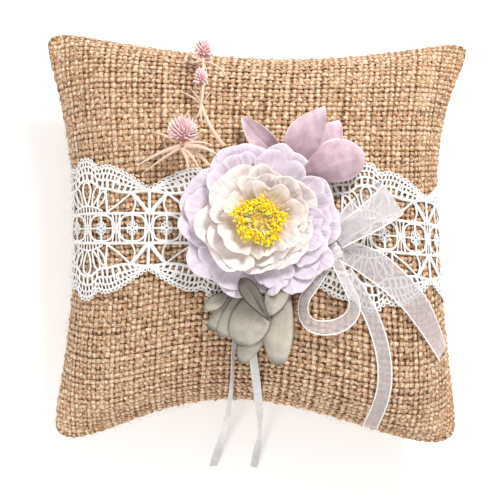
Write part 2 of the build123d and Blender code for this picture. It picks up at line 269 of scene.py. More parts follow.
def burlap_material():
    """Jute: tan yarns, each a little different, hairy. The tint is raised on top of each crossing and along a
    line winding round each yarn, painted highlight, and lowered where a yarn dips under, painted shade.
    """
    material, tree, shader = new_material("burlap", 0.92, sheen=0.25, specular=0.2)
    # The tint's low end is painted shade and its high end painted highlight; the middle is the jute's own
    # tan.
    yarn = ramp(tree, attribute(tree, "tint"), [
        (0.0, (0.15, 0.06, 0.022)), (0.36, (0.49, 0.265, 0.128)), (0.7, (0.8, 0.5, 0.29)),
        (1.0, (1.0, 0.83, 0.6)),
    ])
    fibres = ramp(tree, noise(tree, 1500, 4), [(0.36, (0.32, 0.26, 0.21)), (0.6, WHITE)])
    patches = ramp(tree, noise(tree, 30, 2), [(0.3, (0.95, 0.92, 0.89)), (0.7, WHITE)])
    both = mix(tree, 0.8, yarn, fibres, "MULTIPLY")
    colour(tree, shader, mix(tree, 1.0, both, patches, "MULTIPLY"))
    bump(tree, shader, noise(tree, 2200, 3), 0.6, 0.0003)
    return material


def plain_cloth(name, dark, light, roughness=0.9, scale=900, sheen=0.1, strength=0.3):
    """Plain cloth with fine colour variation."""
    material, tree, shader = new_material(name, roughness, sheen=sheen, specular=0.25)
    colour(tree, shader, ramp(tree, noise(tree, scale, 3), [(0.3, dark), (0.7, light)]))
    bump(tree, shader, noise(tree, scale * 2, 2), strength, 0.0002)
    return material


def petal_material(name, inner, middle, rim):
    """Pressed cloth petal: colour runs from the foot to a deeper tint near the rim, partly its own colour and
    partly painted shade, and turns lighter at the very rim as a painted lit edge. Long soft creases are
    darkened as painted shade.
    """
    material, tree, shader = new_material(name, 0.8, sheen=0.05, subsurface=0.06, specular=0.2)
    # Near the rim a deeper band, partly the petal's own tint and partly painted shade, then a painted lit
    # edge at the very rim.
    run = ramp(tree, attribute(tree, "along"), [(0.05, inner), (0.62, middle), (0.9, rim), (0.99, middle)])
    # Painted shade: darker streaks along the creases.
    creases = ramp(tree, attribute_noise(tree, 9, 1.2), [(0.35, (0.9, 0.87, 0.9)), (0.6, WHITE)])
    colour(tree, shader, mix(tree, 1.0, run, creases, "MULTIPLY"))
    bump(tree, shader, attribute_noise(tree, 14, 1.5, 2), 0.5, 0.0012)
    return material


def velvet_material(name, dark, light, edge):
    """Flocked leaf: soft sheen, mottled, paler at its edge on the mauve leaves, with a dark rim of painted
    contact shadow on the grey ones. Painted shade darkens it towards the stalk, on one half and down the
    midrib; the other half gets painted light.
    """
    material, tree, shader = new_material(name, 0.85, sheen=0.5, specular=0.15)
    mottled = ramp(tree, noise(tree, 260, 4), [(0.3, dark), (0.7, light)])
    # Edge colour: paler on the mauve leaves; on the grey leaves a near-black rim, painted contact shadow.
    rim = ramp(tree, attribute(tree, "edge"), [(0.86, (0.0, 0.0, 0.0)), (0.99, WHITE)])
    # Each leaf's shade: painted light and shade for the whole leaf.
    shaded = mix(tree, 1.0, mix(tree, rim, mottled, edge), attribute(tree, "shade"), "MULTIPLY")
    # Painted shade: darker towards the stalk, where the leaves tuck under the flower.
    run = ramp(tree, attribute(tree, "along"), [(0.1, (0.6, 0.54, 0.56)), (0.6, WHITE)])
    # Painted shade and light: one half of the leaf darker, the other lighter, with a darker line down the
    # midrib crease.
    halves = ramp(tree, attribute(tree, "half"), [
        (0.0, (0.74, 0.71, 0.71)), (0.3, (0.9, 0.89, 0.89)), (0.48, WHITE), (0.5, (0.86, 0.85, 0.85)),
        (0.52, WHITE), (1.0, (1.12, 1.1, 1.1)),
    ])
    colour(tree, shader, mix(tree, 1.0, mix(tree, 1.0, shaded, halves, "MULTIPLY"), run, "MULTIPLY"))
    bump(tree, shader, noise(tree, 3000, 2), 0.35, 0.0002)
    return material


def organza_material(name, opacity):
    """Sheer organza: a fine plain weave that lets most of what is under it through."""
    material, tree, shader = new_material(name, 0.35, sheen=0.3, specular=0.5, alpha=opacity)
    tones = [(0.3, (0.69, 0.63, 0.65)), (0.7, (0.8, 0.75, 0.76))]
    colour(tree, shader, ramp(tree, noise(tree, 700, 2), tones))
    bump(tree, shader, noise(tree, 2500, 2), 0.3, 0.0002)
    return material


def satin_material():
    """Satin: smooth, with a soft gloss along its length."""
    material, tree, shader = new_material("satin", 0.32, sheen=0.4, specular=0.6)
    shader.inputs["Anisotropic"].default_value = 0.5
    tones = [(0.3, (0.66, 0.64, 0.63)), (0.7, (0.78, 0.76, 0.75))]
    colour(tree, shader, ramp(tree, noise(tree, 400, 2), tones))
    bump(tree, shader, noise(tree, 4000, 1), 0.15, 0.0001)
    return material


def tinted_material(name, stops):
    """Colour from the piece's tint attribute, from foot to tip."""
    material, tree, shader = new_material(name, 0.8, sheen=0.2, specular=0.3)
    run = ramp(tree, attribute(tree, "tint"), stops)
    speckle = ramp(tree, noise(tree, 1200, 2), [(0.35, (0.92, 0.92, 0.92)), (0.65, WHITE)])
    colour(tree, shader, mix(tree, 1.0, run, speckle, "MULTIPLY"))
    bump(tree, shader, noise(tree, 3000, 1), 0.3, 0.0001)
    return material


BURLAP = burlap_material()
# The lining is coloured darker than the yarns so that the gaps in the weave read dark: painted shade.
LINING = plain_cloth("lining", (0.27, 0.14, 0.066), (0.36, 0.2, 0.1))
FILLING = plain_cloth("filling", (0.85, 0.85, 0.83), (0.95, 0.95, 0.93), scale=300)
THREAD = plain_cloth("thread", (0.4, 0.25, 0.14), (0.55, 0.38, 0.24))
LACE = plain_cloth("lace", (0.8, 0.78, 0.76), (0.97, 0.95, 0.93), scale=1600, sheen=0.3, strength=0.6)
FELT = plain_cloth("felt", (0.8, 0.78, 0.74), (0.92, 0.9, 0.86), scale=500)
GLUE = plain_cloth("glue", (0.75, 0.7, 0.58), (0.85, 0.8, 0.68), roughness=0.4, scale=150)
CALYX = plain_cloth("calyx", (0.3, 0.36, 0.22), (0.42, 0.48, 0.32), roughness=0.5, scale=200)
LAVENDER = petal_material("lavender_petal", (0.7, 0.5, 0.58), (0.84, 0.75, 0.79), (0.74, 0.64, 0.74))
CREAM = petal_material("cream_petal", (0.93, 0.72, 0.46), (0.92, 0.82, 0.75), (0.91, 0.83, 0.8))
CORE = plain_cloth("flower_core", (0.9, 0.7, 0.3), (0.98, 0.86, 0.5), scale=900)
MAUVE = velvet_material("mauve_leaf", (0.5, 0.34, 0.39), (0.68, 0.515, 0.565), (0.8, 0.66, 0.7))
# The grey leaves' edge colour is near black: a painted contact shadow round each leaf.
GREY = velvet_material("grey_leaf", (0.42, 0.385, 0.315), (0.55, 0.505, 0.42), (0.1, 0.088, 0.066))
FILAMENT = tinted_material("filament", [
    (0.0, (1.0, 0.7, 0.1)), (0.3, (1.0, 0.86, 0.5)), (0.7, (1.0, 0.93, 0.7)), (1.0, (1.0, 0.86, 0.46)),
])
ANTHER = tinted_material("anther", [(0.0, (1.0, 0.66, 0.008)), (1.0, (1.0, 0.85, 0.03))])
THISTLE = tinted_material("thistle_head", [
    (0.0, (0.4, 0.12, 0.14)), (0.3, (0.92, 0.56, 0.56)), (0.8, (1.0, 0.92, 0.89)),
])
STALK = tinted_material("thistle_stem", [
    (0.0, (0.8, 0.46, 0.36)), (0.35, (0.84, 0.58, 0.44)), (1.0, (0.88, 0.7, 0.53)),
])
SHEER = organza_material("organza", 0.36)
GATHERED = organza_material("organza_gathered", 0.85)
WOVEN_EDGE = plain_cloth("organza_edge", (0.84, 0.82, 0.81), (0.93, 0.91, 0.9), roughness=0.5, scale=2000)
SATIN = satin_material()

# ---------------------------------------------------------------- the cushion's surface
HALF_CLOTH = 0.101                       # half the cut square of burlap, seam to middle
CROWN_REACH = 0.086
FLAT_DEPTH = 0.0387                      # how deep the back would hang if nothing flattened it
GRID = 257
CORNER_POWER = 18                        # higher is a sharper corner

# Seam line, as five points on each side from corner to corner, in mm
SIDES_MM = {
    "top": [(-103.6, 98.0), (-50.0, 88.9), (3.0, 83.4), (54.0, 85.6), (104.2, 93.5)],
    "bottom": [(-98.6, -96.2), (-53.5, -84.3), (-5.0, -76.6), (50.0, -89.2), (95.6, -95.4)],
    "left": [(-98.6, -96.2), (-89.2, -47.0), (-85.8, 1.0), (-89.6, 48.0), (-103.6, 98.0)],
    "right": [(95.6, -95.4), (89.0, -46.0), (84.8, 6.0), (87.2, 50.5), (104.2, 93.5)],
}


def smooth_line(points, places):
    """A cubic through points that stand at -1, -0.5, 0, 0.5 and 1, read at places."""
    points = np.array(points, dtype=float) * MM
    knots = np.linspace(-1, 1, len(points))
    return np.stack([np.polyval(np.polyfit(knots, points[:, axis], 4), places) for axis in range(2)], axis=-1)


def arc_angle(places):
    """Angle on the crown's quarter ellipse, for places evenly spaced along its cloth."""
    angles = np.linspace(0, pi / 2, 400)
    speed = np.hypot(CROWN_REACH * np.cos(angles), RISE * np.sin(angles))
    length = np.concatenate([[0], np.cumsum((speed[1:] + speed[:-1]) / 2)])
    return np.sign(places) * np.interp(np.abs(places), length / length[-1], angles)


def soft_minimum(values, limit, softness):
    """The smaller of the two, with a rounded corner between."""
    return limit - softness * np.log1p(np.exp((limit - values) / softness))


def panel_points(front):
    """The grid of points of one panel, indexed [u, v] over its flat cloth."""
    places = np.linspace(-1, 1, GRID)
    u, v = np.meshgrid(places, places, indexing="ij")
    angle_u, angle_v = arc_angle(u), arc_angle(v)
    edge_v, edge_u = np.abs(v) ** 3, np.abs(u) ** 3
    s = (1 - edge_v) * np.sin(angle_u) + edge_v * u
    t = (1 - edge_u) * np.sin(angle_v) + edge_u * v
    # round the corners: near them the cloth is pulled in along the diagonal
    reach = np.maximum(np.abs(s), np.abs(t))
    powers = np.abs(s) ** CORNER_POWER + np.abs(t) ** CORNER_POWER
    rounding = reach / np.maximum(powers ** (1 / CORNER_POWER), 1e-9)
    rounding = 1 - (1 - rounding) * reach ** CORNER_POWER
    s, t = s * rounding, t * rounding
    left, right = smooth_line(SIDES_MM["left"], t), smooth_line(SIDES_MM["right"], t)
    low, high = smooth_line(SIDES_MM["bottom"], s), smooth_line(SIDES_MM["top"], s)
    corners = {
        (a, b): smooth_line(SIDES_MM["top" if b > 0 else "bottom"], np.array(float(a)))
        for a in (-1, 1) for b in (-1, 1)
    }
    s1, t1 = s[..., None], t[..., None]
    plan = (
        (1 - s1) / 2 * left + (1 + s1) / 2 * right + (1 - t1) / 2 * low + (1 + t1) / 2 * high
        - (1 - s1) * (1 - t1) / 4 * corners[-1, -1] - (1 + s1) * (1 - t1) / 4 * corners[1, -1]
        - (1 - s1) * (1 + t1) / 4 * corners[-1, 1] - (1 + s1) * (1 + t1) / 4 * corners[1, 1]
    )
    swell = np.cos(angle_u) * np.cos(angle_v)
    pucker = 0.0011 * (np.sin(v * 19 + 1.5 * np.sin(u * 3)) * edge_u + np.sin(u * 17 + v * 2) * edge_v)
    pucker = pucker * np.sqrt(np.clip(swell, 0, 1)) * 2
    if front:
        height = SEAM_Z + RISE * swell + pucker
    else:
        height = SEAM_Z - soft_minimum(FLAT_DEPTH * swell, SEAM_Z, 0.0015) - pucker
        height = np.maximum(height, 0.0002)
    return np.dstack([plan, height])


class Panel:
    """One burlap panel: reads points and outward normals over its flat cloth."""

    def __init__(self, points, outward):
        self.points = points
        self.normals = unit(np.cross(np.gradient(points, axis=0), np.gradient(points, axis=1))) * outward

    def read(self, values, u, v):
        """Reads a grid between its points."""
        column = np.clip((np.asarray(u) + 1) / 2 * (GRID - 1), 0, GRID - 1.001)
        row = np.clip((np.asarray(v) + 1) / 2 * (GRID - 1), 0, GRID - 1.001)
        i, j = column.astype(int), row.astype(int)
        a, b = (column - i)[..., None], (row - j)[..., None]
        return (
            values[i, j] * (1 - a) * (1 - b) + values[i + 1, j] * a * (1 - b)
            + values[i, j + 1] * (1 - a) * b + values[i + 1, j + 1] * a * b
        )

    def at(self, u, v, lift=0.0):
        """Points above the cloth by lift."""
        return self.read(self.points, u, v) + self.normal(u, v) * np.asarray(lift)[..., None]

    def normal(self, u, v):
        return unit(self.read(self.normals, u, v))


FRONT = Panel(panel_points(True), 1)
BACK = Panel(panel_points(False), -1)


def crown_height(x, y):
    """Height of the decorated face over a plan point, from the nearest points of its grid."""
    plan = FRONT.points[..., :2].reshape(-1, 2)
    distance = np.hypot(plan[:, 0] - x, plan[:, 1] - y)
    near = np.argpartition(distance, 4)[:4]
    weights = 1 / (distance[near] + 1e-5)
    return float((FRONT.points[..., 2].reshape(-1)[near] * weights).sum() / weights.sum())


# ---------------------------------------------------------------- burlap, lining and filling
YARNS = 76
YARN_WIDTH = 0.0022
YARN_HEIGHT = 0.0009
YARN_WAVE = 0.00045                      # how far a yarn goes over and under
YARN_SIDES = 5
YARN_STEPS = 3                           # from one crossing to the next
YARN_TWIST = 1.3                         # crossings for each turn of the painted highlight that winds round each yarn, following its twist


def yarn_layer(name, panel, turned, cad):
    """All the yarns of one panel that run one way, woven over and under the others."""
    crossings = np.linspace(-0.985, 0.985, YARNS)
    steps = np.linspace(-0.985, 0.985, YARN_STEPS * (YARNS - 1) + 1)
    pile = Pile()
    pitch = crossings[1] - crossings[0]
    phase = np.arange(len(steps)) * pi / YARN_STEPS
    twist = np.arange(len(steps))[:, None] / (YARN_TWIST * YARN_STEPS)
    strand = 2 * pi * (np.arange(YARN_SIDES)[None, :] / YARN_SIDES - twist)
    for index, place in enumerate(crossings):
        place_line = np.clip(place + slow_noise(len(steps), 19) * pitch * 0.4, -0.995, 0.995)
        u, v = (place_line, steps) if turned else (steps, place_line)
        weave = np.cos(phase + pi * (index + (1 if turned else 0)))
        swell = slow_noise(len(steps), 7)
        width = YARN_WIDTH * (1 + 0.28 * swell) * rng.uniform(0.85, 1.12)
        normal = panel.normal(u, v)
        centre = panel.at(u, v, YARN_WAVE * weave)
        along = unit(np.gradient(centre, axis=0))
        side = unit(np.cross(normal, along))
        verts, faces = tube_arrays(centre, side, normal, width, YARN_HEIGHT, YARN_SIDES)
        # Painted highlight and shade: the tint rises on top of each crossing and falls where the yarn dips
        # under; the random and swell parts are each yarn's own tone.
        shade = 0.5 + 0.36 * weave + rng.normal(0, 0.06) + 0.14 * swell
        # Painted highlight: a bright stripe winds round each yarn with its twist; the noise on top is the
        # jute's own mottling.
        shade = shade[:, None] + 0.24 * np.cos(strand) + rng.normal(0, 0.13, strand.shape)
        pile.add(verts, faces, np.clip(shade, 0, 1).ravel())
    own(pile.make(name, BURLAP), "burlap", cad)


def closed_pair(name, material, inset, panels, slot, cad):
    """A closed skin just inside one panel or both."""
    places = np.linspace(-1, 1, GRID)[::4]
    u, v = np.meshgrid(places, places, indexing="ij")
    scale = 1 - inset / CROWN_REACH
    verts, faces, start = [], [], 0
    for panel, flip in panels:
        points = panel.at(u, v, 0.0) * (scale, scale, 1)
        points[..., 2] = SEAM_Z + (points[..., 2] - SEAM_Z) * (1 - inset / RISE)
        verts.append(points.reshape(-1, 3))
        quads = grid_faces(len(places), len(places), start)
        faces.append(quads[:, ::-1] if flip else quads)
        start += len(places) ** 2
    return own(new_object(name, np.vstack(verts), np.vstack(faces), material), slot, cad)


def make_cushion():
    for side_name, panel in (("front", FRONT), ("back", BACK)):
        for turned, yarns in ((False, "weft"), (True, "warp")):
            yarn_layer(f"burlap_{side_name}_{yarns}", panel, turned, f"burlap_{side_name}_panel")
        lining = closed_pair(
            f"{side_name}_lining_cloth", LINING, 0.0009, [(panel, side_name == "front")], "lining",
            f"{side_name}_lining",
        )
        thicken(lining, 0.0003, 0)
    filling = closed_pair(
        "fibre_filling_block", FILLING, 0.003, [(FRONT, True), (BACK, False)], "filling", "fibre_filling"
    )


make_cushion()


HEM = 0.985                              # where the stitches cross the cloth, 1 at the seam
STITCH_SPACING = 0.09                    # in half widths of the cloth
STITCH_SLANT = 0.012


def make_stitches():
    """The closing seam's thread: short slanted stitches over the seam."""
    stitches = Pile()
    for fixed in ("u", "v"):
        for edge in (-1, 1):
            for place in np.arange(-0.86, 0.87, STITCH_SPACING):
                offset = np.linspace(-STITCH_SLANT, STITCH_SLANT, 7)
                hem = np.full(7, edge * HEM)
                u, v = (hem, place + offset) if fixed == "u" else (place + offset, hem)
                top, bottom = FRONT.at(u, v, 0.0003), BACK.at(u, v, 0.0003)
                share = np.linspace(0, 1, 7)[:, None]
                line = top * (1 - share) + bottom * share
                outward = unit(line[3] * (1, 1, 0))
                line = line + outward * (0.0009 * np.sin(pi * share))
                stitches.add(*round_tube(line, outward, 0.0005, 5))
    own(stitches.make("seam_stitch_thread", THREAD), "thread", "seam_stitches")


FRONT_FIBRES = 1500
BACK_FIBRES = 900
EDGE_FIBRES = 0.35                       # share of the loose fibres that stand at the seam


def make_fuzz():
    """Loose jute fibres, short and bent, that stand off the cloth and past its edges."""
    fuzz = Pile()
    for panel, count in ((FRONT, FRONT_FIBRES), (BACK, BACK_FIBRES)):
        for _ in range(count):
            u, v = rng.uniform(-0.99, 0.99, 2)
            if rng.uniform() < EDGE_FIBRES:
                u, v = rng.permutation([rng.choice([-0.99, 0.99]), v])
            start = panel.at(u, v, 0.0004)
            normal = panel.normal(u, v)
            lean = unit(rng.normal(0, 1, 3) + normal * 0.6)
            length = rng.uniform(0.0012, 0.0042)
            share = np.linspace(0, 1, 5)[:, None]
            curl = rng.normal(0, 0.0006, 3)
            line = start + lean * length * share + curl * np.sin(pi * share)
            line[:, 2] = np.maximum(line[:, 2], 0.0002)
            girth = 0.00011 * (1 - 0.5 * share[:, 0])
            fuzz.add(*round_tube(line, (0.3, 0.5, 0.8), girth, 3), rng.uniform(0.45, 1.0))
    own(fuzz.make("burlap_loose_fibres", BURLAP), "burlap")


make_stitches()
make_fuzz()

# ---------------------------------------------------------------- lace band
LACE_LIFT = 0.0014
LACE_PERIOD_MM = 68.0
LACE_VALLEYS_MM = (-49.0, 78.4)          # plan places of two notches of the scalloped edge, two repeats apart
RAIL_MM = 6.8                            # rails stand this far from the band's middle
CELL_MM = LACE_PERIOD_MM / 4
PINCH_MM = 25.2                          # where the fan's spokes meet, from a scallop's peak
COLUMN_MM = 12.0
THREAD_MM = 0.75
LACE_HALF_MM = 33                        # the burlap is bare past this distance from the band's middle

# Half heights of the band's two border lines, against the distance from a scallop's peak, in mm
OUTER_EDGE_MM = [(0, 31.3), (3, 30.9), (5.2, 29.3), (6.8, 27.0), (8.2, 26.8), (10.5, 27.6), (14, 27.4),
                 (17, 26.4), (20, 25.1), (23, 23.6), (26, 22.0), (30, 19.6), (34, 17.2)]
INNER_EDGE_MM = [(0, 22.0), (4, 21.3), (7, 19.0), (9, 18.1), (14, 17.6), (19.5, 16.4), (25.2, 16.2),
                 (30, 16.9), (34, 17.2)]


def lace_middle(x):
    """Plan height of the band's middle line, in mm: level, then sinking a little to the right."""
    return 3.7 - 0.00054 * np.maximum(x + 20, 0) ** 2


def outer_edge(x):
    return np.interp(np.abs(x), *zip(*OUTER_EDGE_MM))


def inner_edge(x):
    return np.interp(np.abs(x), *zip(*INNER_EDGE_MM))


def sampled(start, end, step=1.2, bow=0.0):
    """A straight or bowed thread between two points."""
    start, end = np.array(start, dtype=float), np.array(end, dtype=float)
    count = max(3, int(np.linalg.norm(end - start) / step) + 2)
    share = np.linspace(0, 1, count)[:, None]
    across = np.array([-(end - start)[1], (end - start)[0]])
    return start + (end - start) * share + across * bow * np.sin(pi * share)


def ellipse(middle, wide, tall, turn=0.0, count=18, end=2 * pi, power=1.0):
    """Power under 1 squares the ellipse off towards a rounded box."""
    angles = np.linspace(0, end, count)
    flat = np.stack([wide * np.sign(np.cos(angles)) * np.abs(np.cos(angles)) ** power,
                     tall * np.sign(np.sin(angles)) * np.abs(np.sin(angles)) ** power], axis=-1)
    spin = np.array([[cos(turn), sin(turn)], [-sin(turn), cos(turn)]])
    return np.array(middle) + flat @ spin


def teardrop(foot, crown, width, count=20):
    """A loop that is narrow at its foot and wide near its crown."""
    foot, crown = np.array(foot, dtype=float), np.array(crown, dtype=float)
    angles = np.linspace(0, 2 * pi, count)[:, None]
    share = (1 - np.cos(angles)) / 2
    across = np.array([-(crown - foot)[1], (crown - foot)[0]]) / np.linalg.norm(crown - foot)
    return foot + (crown - foot) * share + across * width * 0.62 * np.sin(angles) * share ** 0.5


def lace_repeat():
    """One repeat of the upper half of the band, peak in the middle: (points in mm, thread width in mm)."""
    half = LACE_PERIOD_MM / 2
    threads = []

    def thread(points, width):
        threads.append((points, width))

    def border(x, level):
        return inner_edge(x) * (1 - level) + outer_edge(x) * level

    # rails and the scalloped border: rows of holes between border lines, and a row of picots
    along = np.arange(-half, half + 0.4, 1.0)
    thread(np.stack([along, np.full_like(along, RAIL_MM)], -1), 1.5)
    levels = [0.0, 0.42, 0.74, 1.0]
    for level, width in zip(levels, (1.5, 1.2, 1.0, 1.1)):
        thread(np.stack([along, border(along, level)], -1), width)
    for low, high, gap, width in zip(levels, levels[1:], (2.9, 2.1, 1.9), (1.5, 1.1, 0.95)):
        for x in np.arange(-half, half, gap):
            head_x = x + 0.5 * rng.normal(0, 0.6) + 0.06 * x
            thread(sampled((x, border(x, low)), (head_x, border(head_x, high))), width)
    for x in np.arange(-half + 1.0, half, 2.05):
        thread(ellipse((x, outer_edge(x) + 0.6), 0.95, 0.95, count=8), 0.75)
    # fans of thick spokes at both valleys, with thinner bowed threads beside them
    for inward, valley in ((-1, half), (1, -half)):
        pinch = -inward * PINCH_MM
        top = inner_edge(PINCH_MM)
        thread(sampled((valley, RAIL_MM), (valley, inner_edge(half))), 1.5)
        thread(sampled((valley + inward * 0.4, RAIL_MM), (pinch, top), bow=0.02 * inward), 2.1)
        thread(sampled((pinch, RAIL_MM), (pinch, top), bow=0.2 * inward), 1.0)
        thread(sampled((-inward * COLUMN_MM, RAIL_MM + 0.6), (pinch, top), bow=0.03 * inward), 1.1)
        column = -inward * COLUMN_MM
        thread(sampled((column, RAIL_MM), (column + 0.5 * inward, inner_edge(COLUMN_MM))), 1.2)
        thread(ellipse((-inward * 19.5, 21.3), 1.7, 1.7, count=10), 0.8)
    # loops round the peak, on an arched foot
    arch = np.linspace(-9.5, 9.5, 20)
    arch_height = RAIL_MM + 0.9 + 2.6 * (1 - (arch / 9.5) ** 2)
    thread(np.stack([arch, arch_height], -1), 1.0)
    for x, height in list(zip(arch, arch_height))[1:-1:2]:
        thread(sampled((x, RAIL_MM), (x, height)), 0.8)
    thread(teardrop((0, RAIL_MM + 3.4), (0, 21.2), 5.4), 1.1)
    for side in (-1, 1):
        thread(teardrop((side * 3.2, RAIL_MM + 3.2), (side * 7.6, 18.6), 3.6), 1.0)
        thread(teardrop((side * 6.4, RAIL_MM + 2.4), (side * 10.8, 16.6), 3.0), 1.0)
    # middle strip: columns at every cell boundary, a small flower in every cell
    for boundary in np.arange(-half, half + 1, CELL_MM):
        for side in (-1, 1):
            foot, waist = (boundary + side * 2.1, RAIL_MM), (boundary + side * 0.25, 0)
            thread(sampled(foot, waist, bow=0.05 * side), 0.95)
        thread(sampled((boundary, 0), (boundary, RAIL_MM)), 0.6)
    for middle in np.arange(-half + CELL_MM / 2, half, CELL_MM):
        thread(ellipse((middle, 0), 6.7, 6.0, count=18, end=pi, power=0.7), 1.1)
        thread(sampled((middle, 1.0), (middle, RAIL_MM)), 1.3)
        thread(sampled((middle - CELL_MM / 2, 0), (middle - 1.0, 0)), 0.8)
        thread(sampled((middle + CELL_MM / 2, 0), (middle + 1.0, 0)), 0.8)
        for turn_deg in range(0, 181, 36):
            turn = radians(turn_deg)
            petal = (middle + 1.9 * cos(turn), 1.9 * sin(turn))
            thread(ellipse(petal, 1.25, 0.6, turn=turn, count=9), 0.55)
        thread(ellipse((middle, 0), 0.8, 0.8, count=9, end=pi), 0.8)
    return threads


def lace_tables():
    """Along the band's middle line: true length from the middle in mm, u, v, and the plan x in mm."""
    us = np.linspace(-0.995, 0.995, 300)
    tries = np.linspace(-0.3, 0.3, 61)
    vs = []
    for u in us:
        points = FRONT.at(np.full(61, u), tries, 0.0) / MM
        vs.append(np.interp(0, points[:, 1] - lace_middle(points[:, 0]), tries))
    vs = np.array(vs)
    points = FRONT.at(us, vs, 0.0) / MM
    length = np.concatenate([[0], np.cumsum(np.linalg.norm(np.diff(points, axis=0), axis=1))])
    length = length - np.interp(0, points[:, 0], length)
    return length, us, vs, points[:, 0]


def make_lace():
    """The band: the repeat copied along it, mirrored below, laid on the burlap as raised threads."""
    length, us, vs, plan = lace_tables()
    first_valley, last_valley = np.interp(LACE_VALLEYS_MM, plan, length)
    period = (last_valley - first_valley) / 2
    pile = Pile()
    edge = HALF_CLOTH / MM
    for repeat in range(-2, 3):
        peak = first_valley + period * (repeat + 0.5)
        for points, width in lace_repeat():
            for mirror in (1, -1):
                x = points[:, 0] * period / LACE_PERIOD_MM + peak
                inside = (x > length[0]) & (x < length[-1])
                if inside.sum() < 3:
                    continue
                x, y = x[inside], mirror * points[inside, 1]
                u = np.interp(x, length, us)
                v = np.interp(x, length, vs) + y / edge
                normal = FRONT.normal(u, v)
                centre = FRONT.at(u, v, LACE_LIFT + rng.normal(0, 0.00005, len(u)))
                along = unit(np.gradient(centre, axis=0))
                side = unit(np.cross(normal, along))
                wide = width * MM * (1 + rng.normal(0, 0.1, len(u)))
                pile.add(*tube_arrays(centre, side, normal, wide, THREAD_MM * MM, 5))
    own(pile.make("lace_band_threads", LACE), "lace", "lace_band")


make_lace()

# ---------------------------------------------------------------- flower
PETAL_SIDES = 45
PETAL_STEPS = 24


def petal_grid(turn, spread, foot, reach, base, rim, lean, ruffle, waves, seed, notch):
    """Points of a cupped, ruffled petal, as a grid. Lengths in mm, angles in degrees, heights above the disc.

    lean lifts one side over its neighbour. ruffle is how far the rim waves up and down, waves how often.
    """
    draw = np.random.default_rng(seed)
    a = np.linspace(-1, 1, PETAL_SIDES)[:, None]
    b = np.linspace(0, 1, PETAL_STEPS)[None, :]
    phase = draw.uniform(0, 2 * pi, 6)
    outline = 1 - 0.2 * np.abs(a) ** 4 - 0.025 * np.sin(a * 5 + phase[0])
    outline = outline - 0.05 * (1 - np.abs(np.sin(a * 3.4 + phase[4]))) ** 2
    outline = outline - notch * np.exp(-((a - 0.25 * sin(phase[1])) / 0.14) ** 2)
    radius = foot + (reach - foot) * b * outline
    # a petal is widest two thirds of the way out, and narrow at its foot
    swing = spread / 2 * a * (0.5 + 0.5 * np.sin(pi * np.clip(b * 0.72, 0, 0.5)))
    angle = np.radians(turn + swing)
    height = base + (rim - base) * b ** 1.7
    cup = 0.8 * np.abs(a) ** 2 * b * (1 - 0.35 * b)
    fold = ruffle * b ** 2.4 * np.sin(waves * a * pi + phase[2] + 1.2 * b)
    second = 0.3 * ruffle * b ** 3 * np.sin((waves * 2.3) * a * pi + phase[3])
    lip = -0.8 * np.clip(b - 0.88, 0, 1) ** 2 * 30
    wrinkle = 0.3 * np.sin(a * 17 + phase[0] + 4 * b) * b * (1 - 0.5 * b)
    wrinkle = wrinkle + 0.15 * np.sin(b * 19 + 5 * a + phase[5])
    height = height + cup + fold + second + lip + wrinkle + lean * a * (0.4 + 0.6 * b)
    radius = radius + 0.6 * fold + 0.3 * second
    points = np.stack([FLOWER[0] + radius * np.cos(angle) * MM, FLOWER[1] + radius * np.sin(angle) * MM,
                       FLOWER[2] + height * MM + 0 * angle], axis=-1)
    return points.reshape(-1, 3), (a + 0 * b + seed).ravel(), (b + 0 * a).ravel()


def make_petal(name, material, slot, cad, sheets, seed):
    """One petal of one or two cloth sheets, one over the other, each from its row of shape numbers."""
    verts, faces, across, along = [], [], [], []
    for number, shape in enumerate(sheets):
        points, sheet_across, sheet_along = petal_grid(*shape[:-1], seed + 50 * number, shape[-1])
        faces.append(grid_faces(PETAL_SIDES, PETAL_STEPS, sum(len(part) for part in verts)))
        verts.append(points)
        across.append(sheet_across)
        along.append(sheet_along)
    piece = new_object(name, np.concatenate(verts), np.concatenate(faces), material, {
        "across": np.concatenate(across), "along": np.concatenate(along),
    })
    thicken(piece, 0.0004)
    own(piece, slot, cad)


# turn, spread, reach, base, rim, lean, ruffle, waves, notch
OUTER_PETALS = [
    (112, 66, 35.4, 2.2, 6.2, 0.8, 0.8, 1.3, 0.03),
    (59, 62, 35.4, 1.8, 5.6, 0.8, 0.9, 1.5, 0.03),
    (4, 70, 36.4, 2.2, 5.6, 0.8, 0.9, 1.4, 0.03),
    (-46.5, 54, 38.6, 1.8, 4.8, 0.8, 0.8, 1.5, 0.03),
    (-84, 46, 34.4, 2.4, 5.4, 0.8, 0.8, 1.3, 0.03),
    (-131.5, 74, 37.6, 1.8, 4.8, 0.8, 1.0, 1.6, 0.03),
    (168, 68, 37.2, 2.2, 5.4, 0.8, 0.9, 1.4, 0.03),
    (-22, 58, 33.0, 4.6, 8.6, 0.8, 1.0, 1.7, 0.03),
]
MIDDLE_PETALS = [
    (128, 84, 26.0, 5.2, 11.0, 1.2, 1.2, 1.1, 0.04),
    (70, 74, 23.8, 5.6, 11.8, 1.2, 1.3, 1.3, 0.05),
    (12, 82, 26.4, 5.2, 11.4, 1.2, 1.2, 1.1, 0.04),
    (-42, 78, 25.6, 5.6, 10.8, 1.2, 1.3, 1.3, 0.05),
    (-92, 72, 24.4, 5.2, 10.4, 1.2, 1.2, 1.2, 0.04),
    (-156, 88, 28.8, 5.4, 10.4, 1.2, 1.3, 1.3, 0.05),
]
